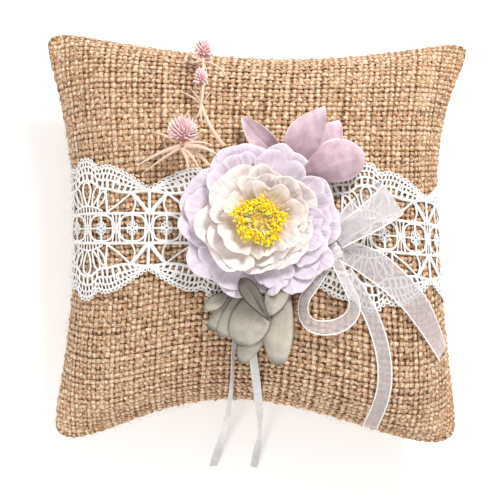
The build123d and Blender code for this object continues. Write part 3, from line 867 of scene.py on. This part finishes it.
INNER_PETALS = [
    (128, 84, 17.6, 8.0, 14.8, 1.2, 1.7, 1.4, 0.1),
    (60, 86, 17.4, 8.4, 15.4, 1.2, 1.8, 1.7, 0.1),
    (-8, 82, 20.0, 8.0, 14.4, 1.2, 1.7, 1.4, 0.08),
    (-76, 78, 17.6, 8.4, 14.4, 1.2, 2.2, 1.9, 0.16),
    (-150, 88, 19.6, 8.0, 14.6, 1.2, 1.7, 1.5, 0.08),
]
# how the second sheet of a petal differs from the first: turn, reach and height. Inner petals have one sheet.
SECOND_SHEET = {"outer_petal": (9, -3.4, 1.1), "middle_petal": (20, -3.2, 1.3)}
for ring_name, petals, material, slot, foot in (
    ("outer_petal", OUTER_PETALS, LAVENDER, "lavender_petal", 5.0),
    ("middle_petal", MIDDLE_PETALS, CREAM, "cream_petal", 5.0),
    ("inner_petal", INNER_PETALS, CREAM, "cream_petal", 4.5),
):
    for number, (turn, spread, reach, base, rim, *shape) in enumerate(petals):
        sheets = [(turn, spread, foot, reach, base, rim, *shape)]
        if ring_name in SECOND_SHEET:
            turn_by, reach_by, rise_by = SECOND_SHEET[ring_name]
            second = (turn + turn_by, spread * 0.9, foot, reach + reach_by, base + rise_by, rim + rise_by)
            sheets.append((*second, *shape))
        make_petal(f"{ring_name}_cloth_{number + 1}", material, slot, f"{ring_name}_{number + 1}", sheets,
                   number + 10 * len(petals))


def blob(centre, direction, width, length, sides=6, rings=4):
    """A rounded grain along a direction. One of many rings has them crowd at its ends, which closes it."""
    direction = unit(np.array(direction, dtype=float))
    helper = np.array([0.0, 0, 1]) if abs(direction[2]) < 0.9 else np.array([1.0, 0, 0])
    side = unit(np.cross(helper, direction))
    up = np.cross(direction, side)
    share = -np.cos(np.linspace(0.02, pi - 0.02, rings)) if rings > 8 else np.linspace(-0.97, 0.97, rings)
    line = np.array(centre) + direction * (share * length / 2)[:, None]
    girth = width * np.sqrt(1 - share ** 2)
    return tube_arrays(line, np.tile(side, (rings, 1)), np.tile(up, (rings, 1)), girth, girth, sides)


GOLDEN_TURN = 2.39996                    # radians between one stamen or floret and the next
STAMENS = 330
STAMENS_MIDDLE = np.array([0, -0.8, 0])  # from the flower's axis, in mm
STAMEN_REACH_MM = 9.7
STAMEN_FOOT_MM = 8.5                     # this and the next two are heights above the disc
STAMEN_TOP_MM = 16.8
BED_MIDDLE_MM = 10.4                     # the rounded bed that the filaments rise from


def make_stamens():
    """Fine pale filaments rising from the core, most with a yellow anther, thickest round the rim."""
    filaments, anthers = Pile(), Pile()
    bed_middle = FLOWER + (STAMENS_MIDDLE + (0, 0, BED_MIDDLE_MM)) * MM
    filaments.add(*blob(bed_middle, (0, 0, 1), 0.0165, 0.0085, 16, 15), 0.12)
    for index in range(STAMENS):
        share = sqrt((index + 0.5) / STAMENS)
        turn = index * GOLDEN_TURN + rng.normal(0, 0.1)
        ragged = 0.1 * sin(2 * turn + 2.4) + 0.13 * sin(5 * turn + 0.4) + 0.09 * sin(9 * turn)
        head_radius = STAMEN_REACH_MM * (1 + ragged) * share + rng.normal(0, 0.4)
        top = STAMEN_TOP_MM - 1.6 * share ** 2 + rng.normal(0, 0.7) - 1.6 * (share < 0.5)
        out = np.array([cos(turn), sin(turn), 0])
        foot = out * 3.6 * share + STAMENS_MIDDLE + (0, 0, STAMEN_FOOT_MM)
        head = out * head_radius + STAMENS_MIDDLE + (0, 0, top)
        bend = np.array([0, 0, 2.4 * share])
        steps = np.linspace(0, 1, 6)[:, None]
        line = (foot * (1 - steps) + head * steps + bend * np.sin(pi * steps)) * MM + FLOWER
        filaments.add(*round_tube(line, (0.3, 0.2, 1.0), 0.0005, 4), np.repeat(steps[:, 0], 4))
        if share > 0.62 or index % 3 == 0:
            for _ in range(4 if share > 0.72 else 1):
                shift = rng.normal(0, 0.0009, 3)
                grain = blob(line[-1] + shift, rng.normal(0, 1, 3), 0.00105, 0.0018)
                anthers.add(*grain, rng.uniform(0.1, 1))
    own(filaments.make("stamen_threads", FILAMENT), "filament", "stamen_filaments")
    own(anthers.make("stamen_anther_grains", ANTHER), "anther", "stamen_anthers")


make_stamens()
for node_name, material in (
    ("felt_backing_disc", FELT), ("glue_pad", GLUE), ("flower_calyx", CALYX), ("flower_core", CORE),
):
    for material_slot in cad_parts[node_name].material_slots:
        material_slot.material = material

# ---------------------------------------------------------------- leaves
LEAF_SIDES = 17
LEAF_STEPS = 25


def make_leaf(name, material, slot, cad, seed,
              stalk, tip, width, widest, arch, fold, droop, blunt, side, shade):
    """A velvet leaf from stalk to tip, in mm. fold lifts its halves from the midrib, droop bends its tip.

    blunt is 0 for a pointed tip and 1 for a round one. side bows the leaf sideways. shade is its brightness:
    painted light and shade for the whole leaf, on the darkest leaf partly its back turned up.
    """
    draw = np.random.default_rng(seed)
    stalk, tip = np.array(stalk, dtype=float), np.array(tip, dtype=float)
    along = tip - stalk
    length = np.linalg.norm(along)
    forward = along / length
    across = unit(np.cross((0, 0, 1), forward))
    up = np.cross(forward, across)
    a = np.linspace(-1, 1, LEAF_SIDES)[:, None]
    b = np.linspace(0, 1, LEAF_STEPS)[None, :]
    warped = b ** (np.log(0.5) / np.log(widest))
    half_width = width / 2 * np.sin(pi * warped) ** (0.85 - 0.35 * blunt) * (1 - 0.1 * (1 - blunt) * b)
    half_width = np.maximum(half_width, 0.15)
    x = b * length - 0.05 * length * a ** 2 * np.sin(pi * b)
    y = a * half_width + side * np.sin(pi * b)
    z = arch * np.sin(pi * b) + fold * np.abs(a) ** 1.4 * np.sin(pi * b) ** 0.7 - droop * b ** 3
    midrib = 0.35 * np.exp(-(a / 0.1) ** 2) * np.sin(pi * b)
    z = z - midrib + 0.3 * np.sin(a * 4 + b * 6 + draw.uniform(0, 6)) * b
    points = stalk + x[..., None] * forward + y[..., None] * across + z[..., None] * up
    edge = np.maximum(np.abs(a) + 0 * b, b + 0 * a)
    piece = new_object(name, points.reshape(-1, 3) * MM, grid_faces(LEAF_SIDES, LEAF_STEPS), material, {
        "across": (a + 0 * b).ravel(), "along": (b + 0 * a).ravel(), "edge": edge.ravel(),
        "shade": np.full(edge.size, shade), "half": (a / 2 + 0.5 + 0 * b).ravel(),
    })
    thicken(piece, 0.0006)
    own(piece, slot, cad)


# stalk, tip, width, widest, arch, fold, droop, blunt, side, shade (brightness, painted light and shade)
MAUVE_LEAVES = [
    ((12.5, 34.5, 80.0), (-7.2, 54.6, 76.5), 11.5, 0.5, 1.5, 2.0, 1.0, 0.35, 1.4, 0.97),
    ((16.5, 31.0, 82.0), (30.8, 58.6, 82.0), 18.0, 0.5, 2.2, -1.4, 1.5, 0.05, 2.0, 0.95),
    ((23.5, 31.0, 80.6), (37.4, 52.4, 78.0), 13.0, 0.6, 1.0, 0.9, 0.5, 0.5, -0.5, 1.08),
    ((20.0, 26.5, 83.6), (49.4, 37.4, 80.4), 20.5, 0.64, 3.5, -3.2, 4.5, 0.95, 1.6, 0.9),
]
GREY_LEAVES = [
    ((-13.0, -26.4, 78.6), (-24.6, -33.4, 76.6), 7.0, 0.55, 0.6, 0.5, 0.2, 0.4, 0.0, 0.85),
    ((-10.5, -24.0, 77.0), (-21.8, -43.0, 73.5), 10.5, 0.6, 1.2, -1.6, 0.8, 0.9, 2.4, 0.9),
    ((-6.5, -24.0, 79.2), (-17.0, -46.6, 74.6), 12.0, 0.6, 1.6, -1.8, 1.4, 0.95, 2.0, 0.96),
    ((0.5, -25.5, 82.6), (-8.6, -50.6, 77.4), 19.0, 0.58, 2.6, -2.6, 2.8, 1.0, 1.0, 1.0),
    ((-7.6, -19.0, 85.7), (5.6, -38.6, 83.3), 8.8, 0.36, 0.8, 3.0, 0.6, -0.3, 0.0, 0.5),
    ((3.6, -40.5, 78.0), (-8.2, -58.6, 71.0), 10.5, 0.55, 1.0, -1.8, 0.6, 0.7, -1.0, 0.82),
    ((13.5, -20.5, 81.0), (4.6, -37.0, 81.6), 11.5, 0.5, 0.8, 1.2, 0.3, 0.1, -1.0, 0.98),
    ((13.6, -24.0, 80.2), (9.6, -60.2, 73.0), 14.4, 0.6, 3.2, -2.2, 2.0, 0.9, -2.0, 1.08),
]
for tone, material, leaves, first_seed in (
    ("mauve", MAUVE, MAUVE_LEAVES, 0), ("grey", GREY, GREY_LEAVES, 20),
):
    for number, leaf in enumerate(leaves):
        make_leaf(f"{tone}_leaf_velvet_{number + 1}", material, f"{tone}_leaf", f"{tone}_leaf_{number + 1}",
                  number + first_seed, *leaf)


# ---------------------------------------------------------------- thistle sprigs
def curved_spike(pile, foot, tip, width, bend, value=(0.0, 1.0), sides=5, steps=7, end_share=0.12):
    """A tapered, slightly bent ray from foot to tip, in mm."""
    foot, tip = np.array(foot, dtype=float), np.array(tip, dtype=float)
    share = np.linspace(0, 1, steps)[:, None]
    line = (foot * (1 - share) + tip * share + np.array(bend) * np.sin(pi * share)) * MM
    girth = width * MM * (1 - (1 - end_share) * share[:, 0] ** 1.5)
    shade = np.repeat(value[0] + (value[1] - value[0]) * share[:, 0], sides)
    pile.add(*round_tube(line, (0.21, 0.13, 1.0), girth, sides), shade)


def make_head(name, cad, foot, crown, width, spikes, spike_length):
    """A globe of narrow florets on a core. Lengths in mm."""
    foot, crown = np.array(foot, dtype=float), np.array(crown, dtype=float)
    middle, axis = (foot + crown) / 2, unit(crown - foot)
    length = np.linalg.norm(crown - foot)
    side = unit(np.cross(axis, (0, 0, 1.0)))
    up = np.cross(side, axis)
    pile = Pile()
    # The core and the florets' feet are coloured dark so that the gaps between florets read dark: painted
    # shade.
    pile.add(*blob(middle * MM, axis, width * 0.62 * MM, length * 0.72 * MM, 10, 8), 0.05)
    for index in range(spikes):
        height = 1 - 1.85 * (index + 0.5) / spikes
        ring = sqrt(max(0.0, 1 - height ** 2))
        turn = index * GOLDEN_TURN
        out = axis * height * length / width + (side * cos(turn) + up * sin(turn)) * ring
        start = middle + out * width * 0.27
        reach = spike_length * rng.uniform(0.8, 1.1)
        end = start + unit(out + axis * 0.6) * reach
        curved_spike(pile, start, end, 1.1, rng.normal(0, 0.2, 3), (0.1, rng.uniform(0.6, 1.0)), 4, 4, 0.4)
    own(pile.make(name, THISTLE), "thistle_head", cad)


# foot, crown, width, count of florets and a floret's length, in mm
THISTLE_HEADS = [
    ((-24.6, 80.8, 62.4), (-25.0, 91.6, 58.0), 8.2, 90, 2.8),
    ((-25.9, 67.6, 71.5), (-25.9, 77.4, 69.0), 6.0, 64, 2.2),
    ((-33.9, 40.8, 82.0), (-33.5, 53.6, 80.5), 12.8, 140, 4.2),
]
for number, head in enumerate(THISTLE_HEADS):
    make_head(f"thistle_head_florets_{number + 1}", f"thistle_head_{number + 1}", *head)

# foot, tip, width and sideways bend of each ray, in mm
BRACTS_MM = [
    ((-26.4, 60.5, 74.8), (-34.5, 65.5, 77.0), 1.2, (0, 0.6, 0.6)),
    ((-26.0, 61.0, 74.8), (-31.0, 67.5, 77.5), 1.1, (0.5, 0, 0.6)),
    ((-25.4, 59.5, 75.0), (-24.6, 50.0, 80.0), 1.3, (-0.6, 0, 0.6)),
    ((-25.8, 59.5, 75.0), (-27.8, 52.5, 79.0), 1.1, (0.4, 0, 0.6)),
    ((-24.8, 60.5, 75.0), (-20.5, 66.5, 75.5), 0.9, (0, 0, 0.4)),
    ((-24.4, 80.6, 63.0), (-12.8, 71.0, 70.0), 1.3, (1.6, 1.2, 1.0)),
    ((-25.2, 81.0, 63.0), (-33.0, 85.6, 62.0), 1.1, (0.6, -0.8, 0.5)),
    ((-25.4, 81.4, 62.8), (-32.0, 80.4, 65.0), 1.0, (0, -0.8, 0.5)),
    ((-25.2, 80.4, 63.2), (-23.0, 74.4, 68.5), 0.9, (0.4, 0, 0.3)),
    ((-35.0, 40.6, 82.6), (-54.5, 31.8, 79.5), 2.3, (0.4, 1.2, 1.2)),
    ((-34.6, 40.0, 82.8), (-52.0, 28.4, 79.0), 1.6, (0.6, 0.8, 0.8)),
    ((-36.4, 42.2, 82.8), (-47.5, 46.8, 81.0), 1.3, (0, 1.0, 0.6)),
    ((-34.2, 39.4, 83.4), (-31.4, 28.8, 85.0), 2.0, (1.0, 0.3, 0.8)),
    ((-33.4, 39.6, 83.4), (-25.6, 28.8, 85.4), 1.8, (0.8, 0.5, 0.6)),
    ((-32.8, 40.6, 83.2), (-17.5, 36.4, 86.0), 2.8, (0.2, 1.4, 0.8)),
    ((-32.8, 41.4, 83.4), (-19.5, 40.4, 85.0), 1.6, (0.2, 1.4, 0.8)),
]


def make_stalks(name, cad, spikes):
    """Stems or rays, each from its row of curved_spike's values."""
    pile = Pile()
    for spike in spikes:
        curved_spike(pile, *spike)
    own(pile.make(name, STALK), "thistle_stem", cad)


make_stalks("thistle_rays", "thistle_bracts", [(*bract, (0.1, 1.0)) for bract in BRACTS_MM])
make_stalks("thistle_main_stalk", "thistle_main_stem", [
    ((-15.0, 40.5, 81.0), (-25.6, 60.0, 74.8), 2.0, (-1.0, -0.6, 1.0), (0.2, 0.7), 7, 12, 0.85),
    ((-25.6, 59.6, 74.8), (-25.3, 84.0, 60.8), 1.5, (0.9, 0.4, 1.8), (0.4, 0.9), 7, 14, 0.8),
])
make_stalks("thistle_side_stalk", "thistle_side_stem", [
    ((-22.0, 32.0, 82.5), (-34.0, 41.2, 82.2), 1.7, (0.8, 0.8, 0.6), (0.2, 0.6), 7, 10, 0.9),
])


# ---------------------------------------------------------------- ribbons
def route_line(name, route_mm, steps=16):
    """Points read from a smooth NURBS line whose control points are the route, in metres."""
    curve = bpy.data.curves.new(name, "CURVE")
    curve.dimensions = "3D"
    curve.resolution_u = steps
    spline = curve.splines.new("NURBS")
    spline.points.add(len(route_mm) - 1)
    for point, place in zip(spline.points, route_mm):
        point.co = (*(value * MM for value in place), 1.0)
    spline.order_u = 3
    spline.use_endpoint_u = True
    holder = bpy.data.objects.new(name, curve)
    bpy.context.scene.collection.objects.link(holder)
    mesh = bpy.data.meshes.new_from_object(holder)
    points = np.array([vert.co[:] for vert in mesh.vertices])
    bpy.data.objects.remove(holder)
    bpy.data.curves.remove(curve)
    bpy.data.meshes.remove(mesh)
    return points


EDGE_WIDTH = 0.0008                      # an organza ribbon's woven edge
EDGE_HEIGHT = 0.0004
RIPPLES = 3.0                            # from one end of a ribbon to the other
CUT_FROM = 0.8                           # a slanted end's slant begins at this share of the ribbon


def strip(name, material, line, side, width, ripple=0.0, thickness=0.00014, columns=9, cut=0.0):
    """A flat ribbon along line, side across it. ripple waves it out of flat, cut slants its last end."""
    share = np.linspace(0, 1, len(line))
    along = unit(np.gradient(line, axis=0))
    up = unit(np.cross(along, side))
    across = np.linspace(-0.5, 0.5, columns)
    width = np.broadcast_to(np.asarray(width, dtype=float), (len(line),))
    wave = ripple * np.sin(share * RIPPLES * 2 * pi)[:, None] * np.cos(across * 2.4)[None, :]
    points = line[:, None, :] + side[:, None, :] * (across[None, :, None] * width[:, None, None])
    points = points + up[:, None, :] * wave[..., None]
    slant = np.clip((share - CUT_FROM) / (1 - CUT_FROM), 0, 1)[:, None] ** 2 * across[None, :] * cut
    points = points + along[:, None, :] * slant[..., None]
    piece = new_object(name, points.reshape(-1, 3), grid_faces(len(line), columns), material, {
        "across": np.tile(across + 0.5, len(line)), "along": np.repeat(share, columns),
    })
    thicken(piece, thickness)
    edges = Pile()
    for column in (0, columns - 1):
        edges.add(*tube_arrays(points[:, column], side, up, EDGE_WIDTH, EDGE_HEIGHT, 5))
    return piece, edges


def level_side(line, tilt=0.0):
    """Directions across a line that stay level, or tilt by radians about it. tilt may vary along it."""
    along = unit(np.gradient(line, axis=0))
    flat = unit(np.cross(along, (0, 0, 1.0)))
    up = np.cross(flat, along)
    tilt = np.broadcast_to(np.asarray(tilt, dtype=float), (len(line),))[:, None]
    return unit(flat * np.cos(tilt) + up * np.sin(tilt))


def surface_side(line):
    """Directions across a line that follow the slope of the cushion under it."""
    along = unit(np.gradient(line, axis=0))
    step = 0.002
    normals = []
    for x, y, _ in line:
        slope_x = (crown_height(x + step, y) - crown_height(x - step, y)) / (2 * step)
        slope_y = (crown_height(x, y + step) - crown_height(x, y - step)) / (2 * step)
        normals.append((-slope_x, -slope_y, 1.0))
    normals = unit(np.array(normals))
    smooth = np.stack([running_mean(normals[:, axis], 9) for axis in range(3)], axis=-1)
    return unit(np.cross(along, unit(smooth)))


NARROW_WIDTH = 0.0065
RING_WIDTH = 0.004
WIDE_WIDTH = 0.0165
TAIL_WIDTH = 0.0125

# The free ribbons' routes, as in the frame, in mm
NARROW_LOOP_MM = [(33.0, -9.0, 77.5), (27.0, -20.0, 79.4), (19.5, -31.0, 78.0), (23.5, -42.0, 75.0),
                  (38.0, -42.0, 74.0), (46.0, -33.0, 75.5), (39.5, -20.0, 79.4), (34.5, -9.0, 79.0)]
NARROW_TAIL_MM = [(40.0, -17.0, 77.0), (48.5, -28.0, 71.5), (56.5, -46.0, 67.0), (59.5, -62.0, 60.5),
                  (58.5, -76.0, 53.5), (53.0, -90.0, 41.5)]
RING_LEFT_MM = [(-8.0, -36.0, 74.0), (-11.0, -51.0, 68.5), (-11.5, -66.0, 59.5), (-13.0, -79.5, 44.5),
                (-14.8, -88.5, 31.0), (-16.3, -95.5, 15.0), (-17.8, -100.5, 4.0), (-21.5, -112.5, 0.9)]
RING_RIGHT_MM = [(-4.0, -36.0, 74.0), (-2.5, -51.0, 69.0), (-0.5, -66.0, 60.0), (1.0, -79.5, 44.5),
                 (1.6, -88.5, 31.0), (1.3, -95.5, 15.0), (0.6, -100.5, 4.0), (-1.5, -113.0, 0.9)]
WIDE_TAIL_MM = [(36.0, -6.0, 77.0), (48.2, -9.5, 72.0), (63.8, -21.0, 66.0), (74.2, -32.2, 58.0),
                (80.8, -42.4, 51.0), (86.8, -54.6, 42.0)]
# The wide loop folds over on itself: distance out from the knot, offset to its left, and height, in mm
LOOP_START_MM = (35.5, -1.0)
LOOP_END_MM = (60.2, 16.2)
LOOP_PROFILE_MM = [(0.0, 0.8, 77.0), (6.0, 1.8, 75.6), (13.0, 2.6, 73.0), (20.0, 2.8, 70.0),
                   (26.0, 2.4, 67.4), (30.5, 1.4, 66.8), (32.4, 0.4, 69.6), (31.4, -0.6, 73.6),
                   (26.0, -1.2, 76.6), (18.0, -1.4, 78.8), (9.0, -1.0, 79.8), (0.0, -0.4, 78.5)]
# how far the narrow loop is turned on edge, against its share of the way
LOOP_TURNS = ([0, 0.15, 0.3, 0.42, 0.55, 0.7, 0.85, 1], [-0.5, -0.8, -0.85, -0.5, -0.1, -0.4, -0.9, -0.8])
SHEER_GAP = 0.0016                       # how far a ribbon's middle lies off the burlap
LACE_GAP = 0.0026


def drape_over(points):
    """Lays a line's points on the cushion or the lace. The first ones keep some of their own height."""
    laid = points.copy()
    for index, (x, y, z) in enumerate(points):
        off_lace = abs(y / MM - lace_middle(x / MM)) > LACE_HALF_MM
        height = crown_height(x, y)
        slope = hypot(crown_height(x + 0.003, y) - height, crown_height(x, y - 0.003) - height) / 0.003
        low = height + (SHEER_GAP if off_lace else LACE_GAP) * sqrt(1 + slope ** 2)
        free = 1 - min(1.0, index / len(points) * 2.5)
        laid[index, 2] = low + max(0.0, z - low) * free
    laid[:, 2] = running_mean(laid[:, 2], 11)
    return laid


def organza_pieces(name, line, side, width, node_name, **shape):
    """An organza ribbon and its woven edges, as two pieces."""
    piece, edges = strip(name, SHEER, line, side, width, **shape)
    edge_piece = own(edges.make(name + "_edges", WOVEN_EDGE), "organza")
    own(piece, "organza", node_name)
    return piece, [edge_piece]


def wide_loop_line():
    """The wide loop's line, and the direction across it."""
    start, end = np.array(LOOP_START_MM), np.array(LOOP_END_MM)
    out = unit(end - start)
    left = np.array([-out[1], out[0]])
    route = [(*(start + out * reach + left * offset), height) for reach, offset, height in LOOP_PROFILE_MM]
    line = route_line("wide_loop_line", route, steps=10)
    return line, np.tile((*left, 0.0), (len(line), 1))


def along_line(line, places, values):
    """Values given at shares of the way, read at each point of a line."""
    return np.interp(np.linspace(0, 1, len(line)), places, values)


def make_bow():
    line = route_line("narrow_loop_line", NARROW_LOOP_MM)
    tilt = along_line(line, *LOOP_TURNS)
    line[:, 2] += 0.35 * NARROW_WIDTH * (np.abs(np.sin(tilt)) - 0.48)
    piece, edges = organza_pieces("narrow_loop_ribbon", line, level_side(line, tilt), NARROW_WIDTH,
                                  "narrow_loop", ripple=0.0002)

    line = drape_over(route_line("narrow_tail_line", NARROW_TAIL_MM))
    piece, edges = organza_pieces("narrow_tail_ribbon", line, surface_side(line), NARROW_WIDTH,
                                  "narrow_tail", ripple=0.0002, cut=0.0015)

    line, side = wide_loop_line()
    width = WIDE_WIDTH * along_line(line, [0, 0.15, 0.4, 0.6, 0.85, 1], [0.55, 0.8, 1, 1, 0.8, 0.6])
    piece, edges = organza_pieces("wide_loop_ribbon", line, side, width, "wide_loop",
                                  ripple=0.0006, columns=15)

    line = drape_over(route_line("wide_tail_line", WIDE_TAIL_MM))
    width = TAIL_WIDTH * along_line(line, [0, 0.2, 0.7, 1], [0.7, 1.05, 1, 0.8])
    piece, edges = organza_pieces("wide_tail_ribbon", line, surface_side(line), width, "wide_tail",
                                  ripple=0.0004, columns=15, cut=0.0035)


KNOT_SHIFT = np.array([-0.0035, -0.001, -0.0006])
KNOT_HALF_MM = (3.9, 3.8, 2.3)           # along the bow, across it and up
KNOT_TURN = radians(28)


def make_knot():
    """The bow's knot: a ribbon wrapped round the gathered middle."""
    u = np.linspace(0, 2 * pi, 33)[:, None]
    v = np.linspace(-1, 1, 13)[None, :]
    crease = 1 + 0.07 * np.sin(v * 9 + np.sin(u) * 0.6)
    long_half, wide_half, high_half = KNOT_HALF_MM
    x = long_half * np.cos(u) * crease * (1 - 0.18 * v ** 2)
    y = wide_half * v + 0 * u
    z = high_half * np.sin(u) * crease * (1 - 0.18 * v ** 2)
    turned = [x * cos(KNOT_TURN) - y * sin(KNOT_TURN), x * sin(KNOT_TURN) + y * cos(KNOT_TURN), z]
    points = np.stack(turned, axis=-1)
    points = (points * MM + KNOT + KNOT_SHIFT).reshape(-1, 3)
    piece = new_object("bow_knot_wrap", points, grid_faces(33, 13), GATHERED)
    thicken(piece, 0.0004)
    own(piece, "organza", "bow_knot")


# how far each ring ribbon is turned on edge, against its share of the way
RING_TURNS = {
    "left": ([0, 0.15, 0.3, 0.5, 0.75, 1], [0.6, 1.25, 1.1, 0.85, 0.5, 0.15]),
    "right": ([0, 0.3, 0.5, 0.65, 0.8, 1], [0.1, 0.2, 0.6, 1.1, 0.95, 0.4]),
}


def make_ring_ribbons():
    for side_name, route, cut in (("left", RING_LEFT_MM, 0.001), ("right", RING_RIGHT_MM, -0.001)):
        line = route_line(f"ring_{side_name}_line", route)
        tilt = along_line(line, *RING_TURNS[side_name])
        line[:, 2] += 0.45 * RING_WIDTH * np.abs(np.sin(tilt))
        piece, _ = strip(f"ring_ribbon_{side_name}_satin", SATIN, line, level_side(line, tilt), RING_WIDTH,
                         ripple=0.0002, thickness=0.00025, cut=cut)
        own(piece, "satin", f"ring_ribbon_{side_name}")
    for material_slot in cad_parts["ring_ribbon_tack"].material_slots:
        material_slot.material = SATIN


make_bow()
make_knot()
make_ring_ribbons()

# ---------------------------------------------------------------- floor, light
floor_material = plain_cloth("floor", (0.98, 0.98, 0.98), WHITE, roughness=0.8, scale=5)
floor = new_object(
    "floor", [(-3, -3, 0), (3, -3, 0), (3, 3, 0), (-3, 3, 0)], np.array([[0, 1, 2, 3]]), floor_material,
    smooth=False,
)
floor_shader = floor_material.node_tree.nodes["Principled BSDF"]
floor_shader.inputs["Emission Color"].default_value = (1, 1, 1, 1)
floor_shader.inputs["Emission Strength"].default_value = 0.22


def area_light(name, place, size, power):
    """A square white light that faces the cushion."""
    light = bpy.data.lights.new(name, "AREA")
    light.size = size
    light.energy = power
    made = bpy.data.objects.new(name, light)
    made.location = place
    made.rotation_euler = (Vector((0, 0, 0.05)) - Vector(place)).to_track_quat("-Z", "Y").to_euler()
    bpy.context.scene.collection.objects.link(made)


area_light("key", (0.4, 0.75, 0.8), 0.3, 11.5)
area_light("fill", (-0.5, -0.8, 0.6), 0.4, 4.2)
world = bpy.data.worlds.new("studio")
world.use_nodes = True
world.node_tree.nodes["Background"].inputs["Color"].default_value = (1, 1, 1, 1)
world.node_tree.nodes["Background"].inputs["Strength"].default_value = 0.62
bpy.context.scene.world = world
bpy.context.scene.view_settings.view_transform = "Standard"
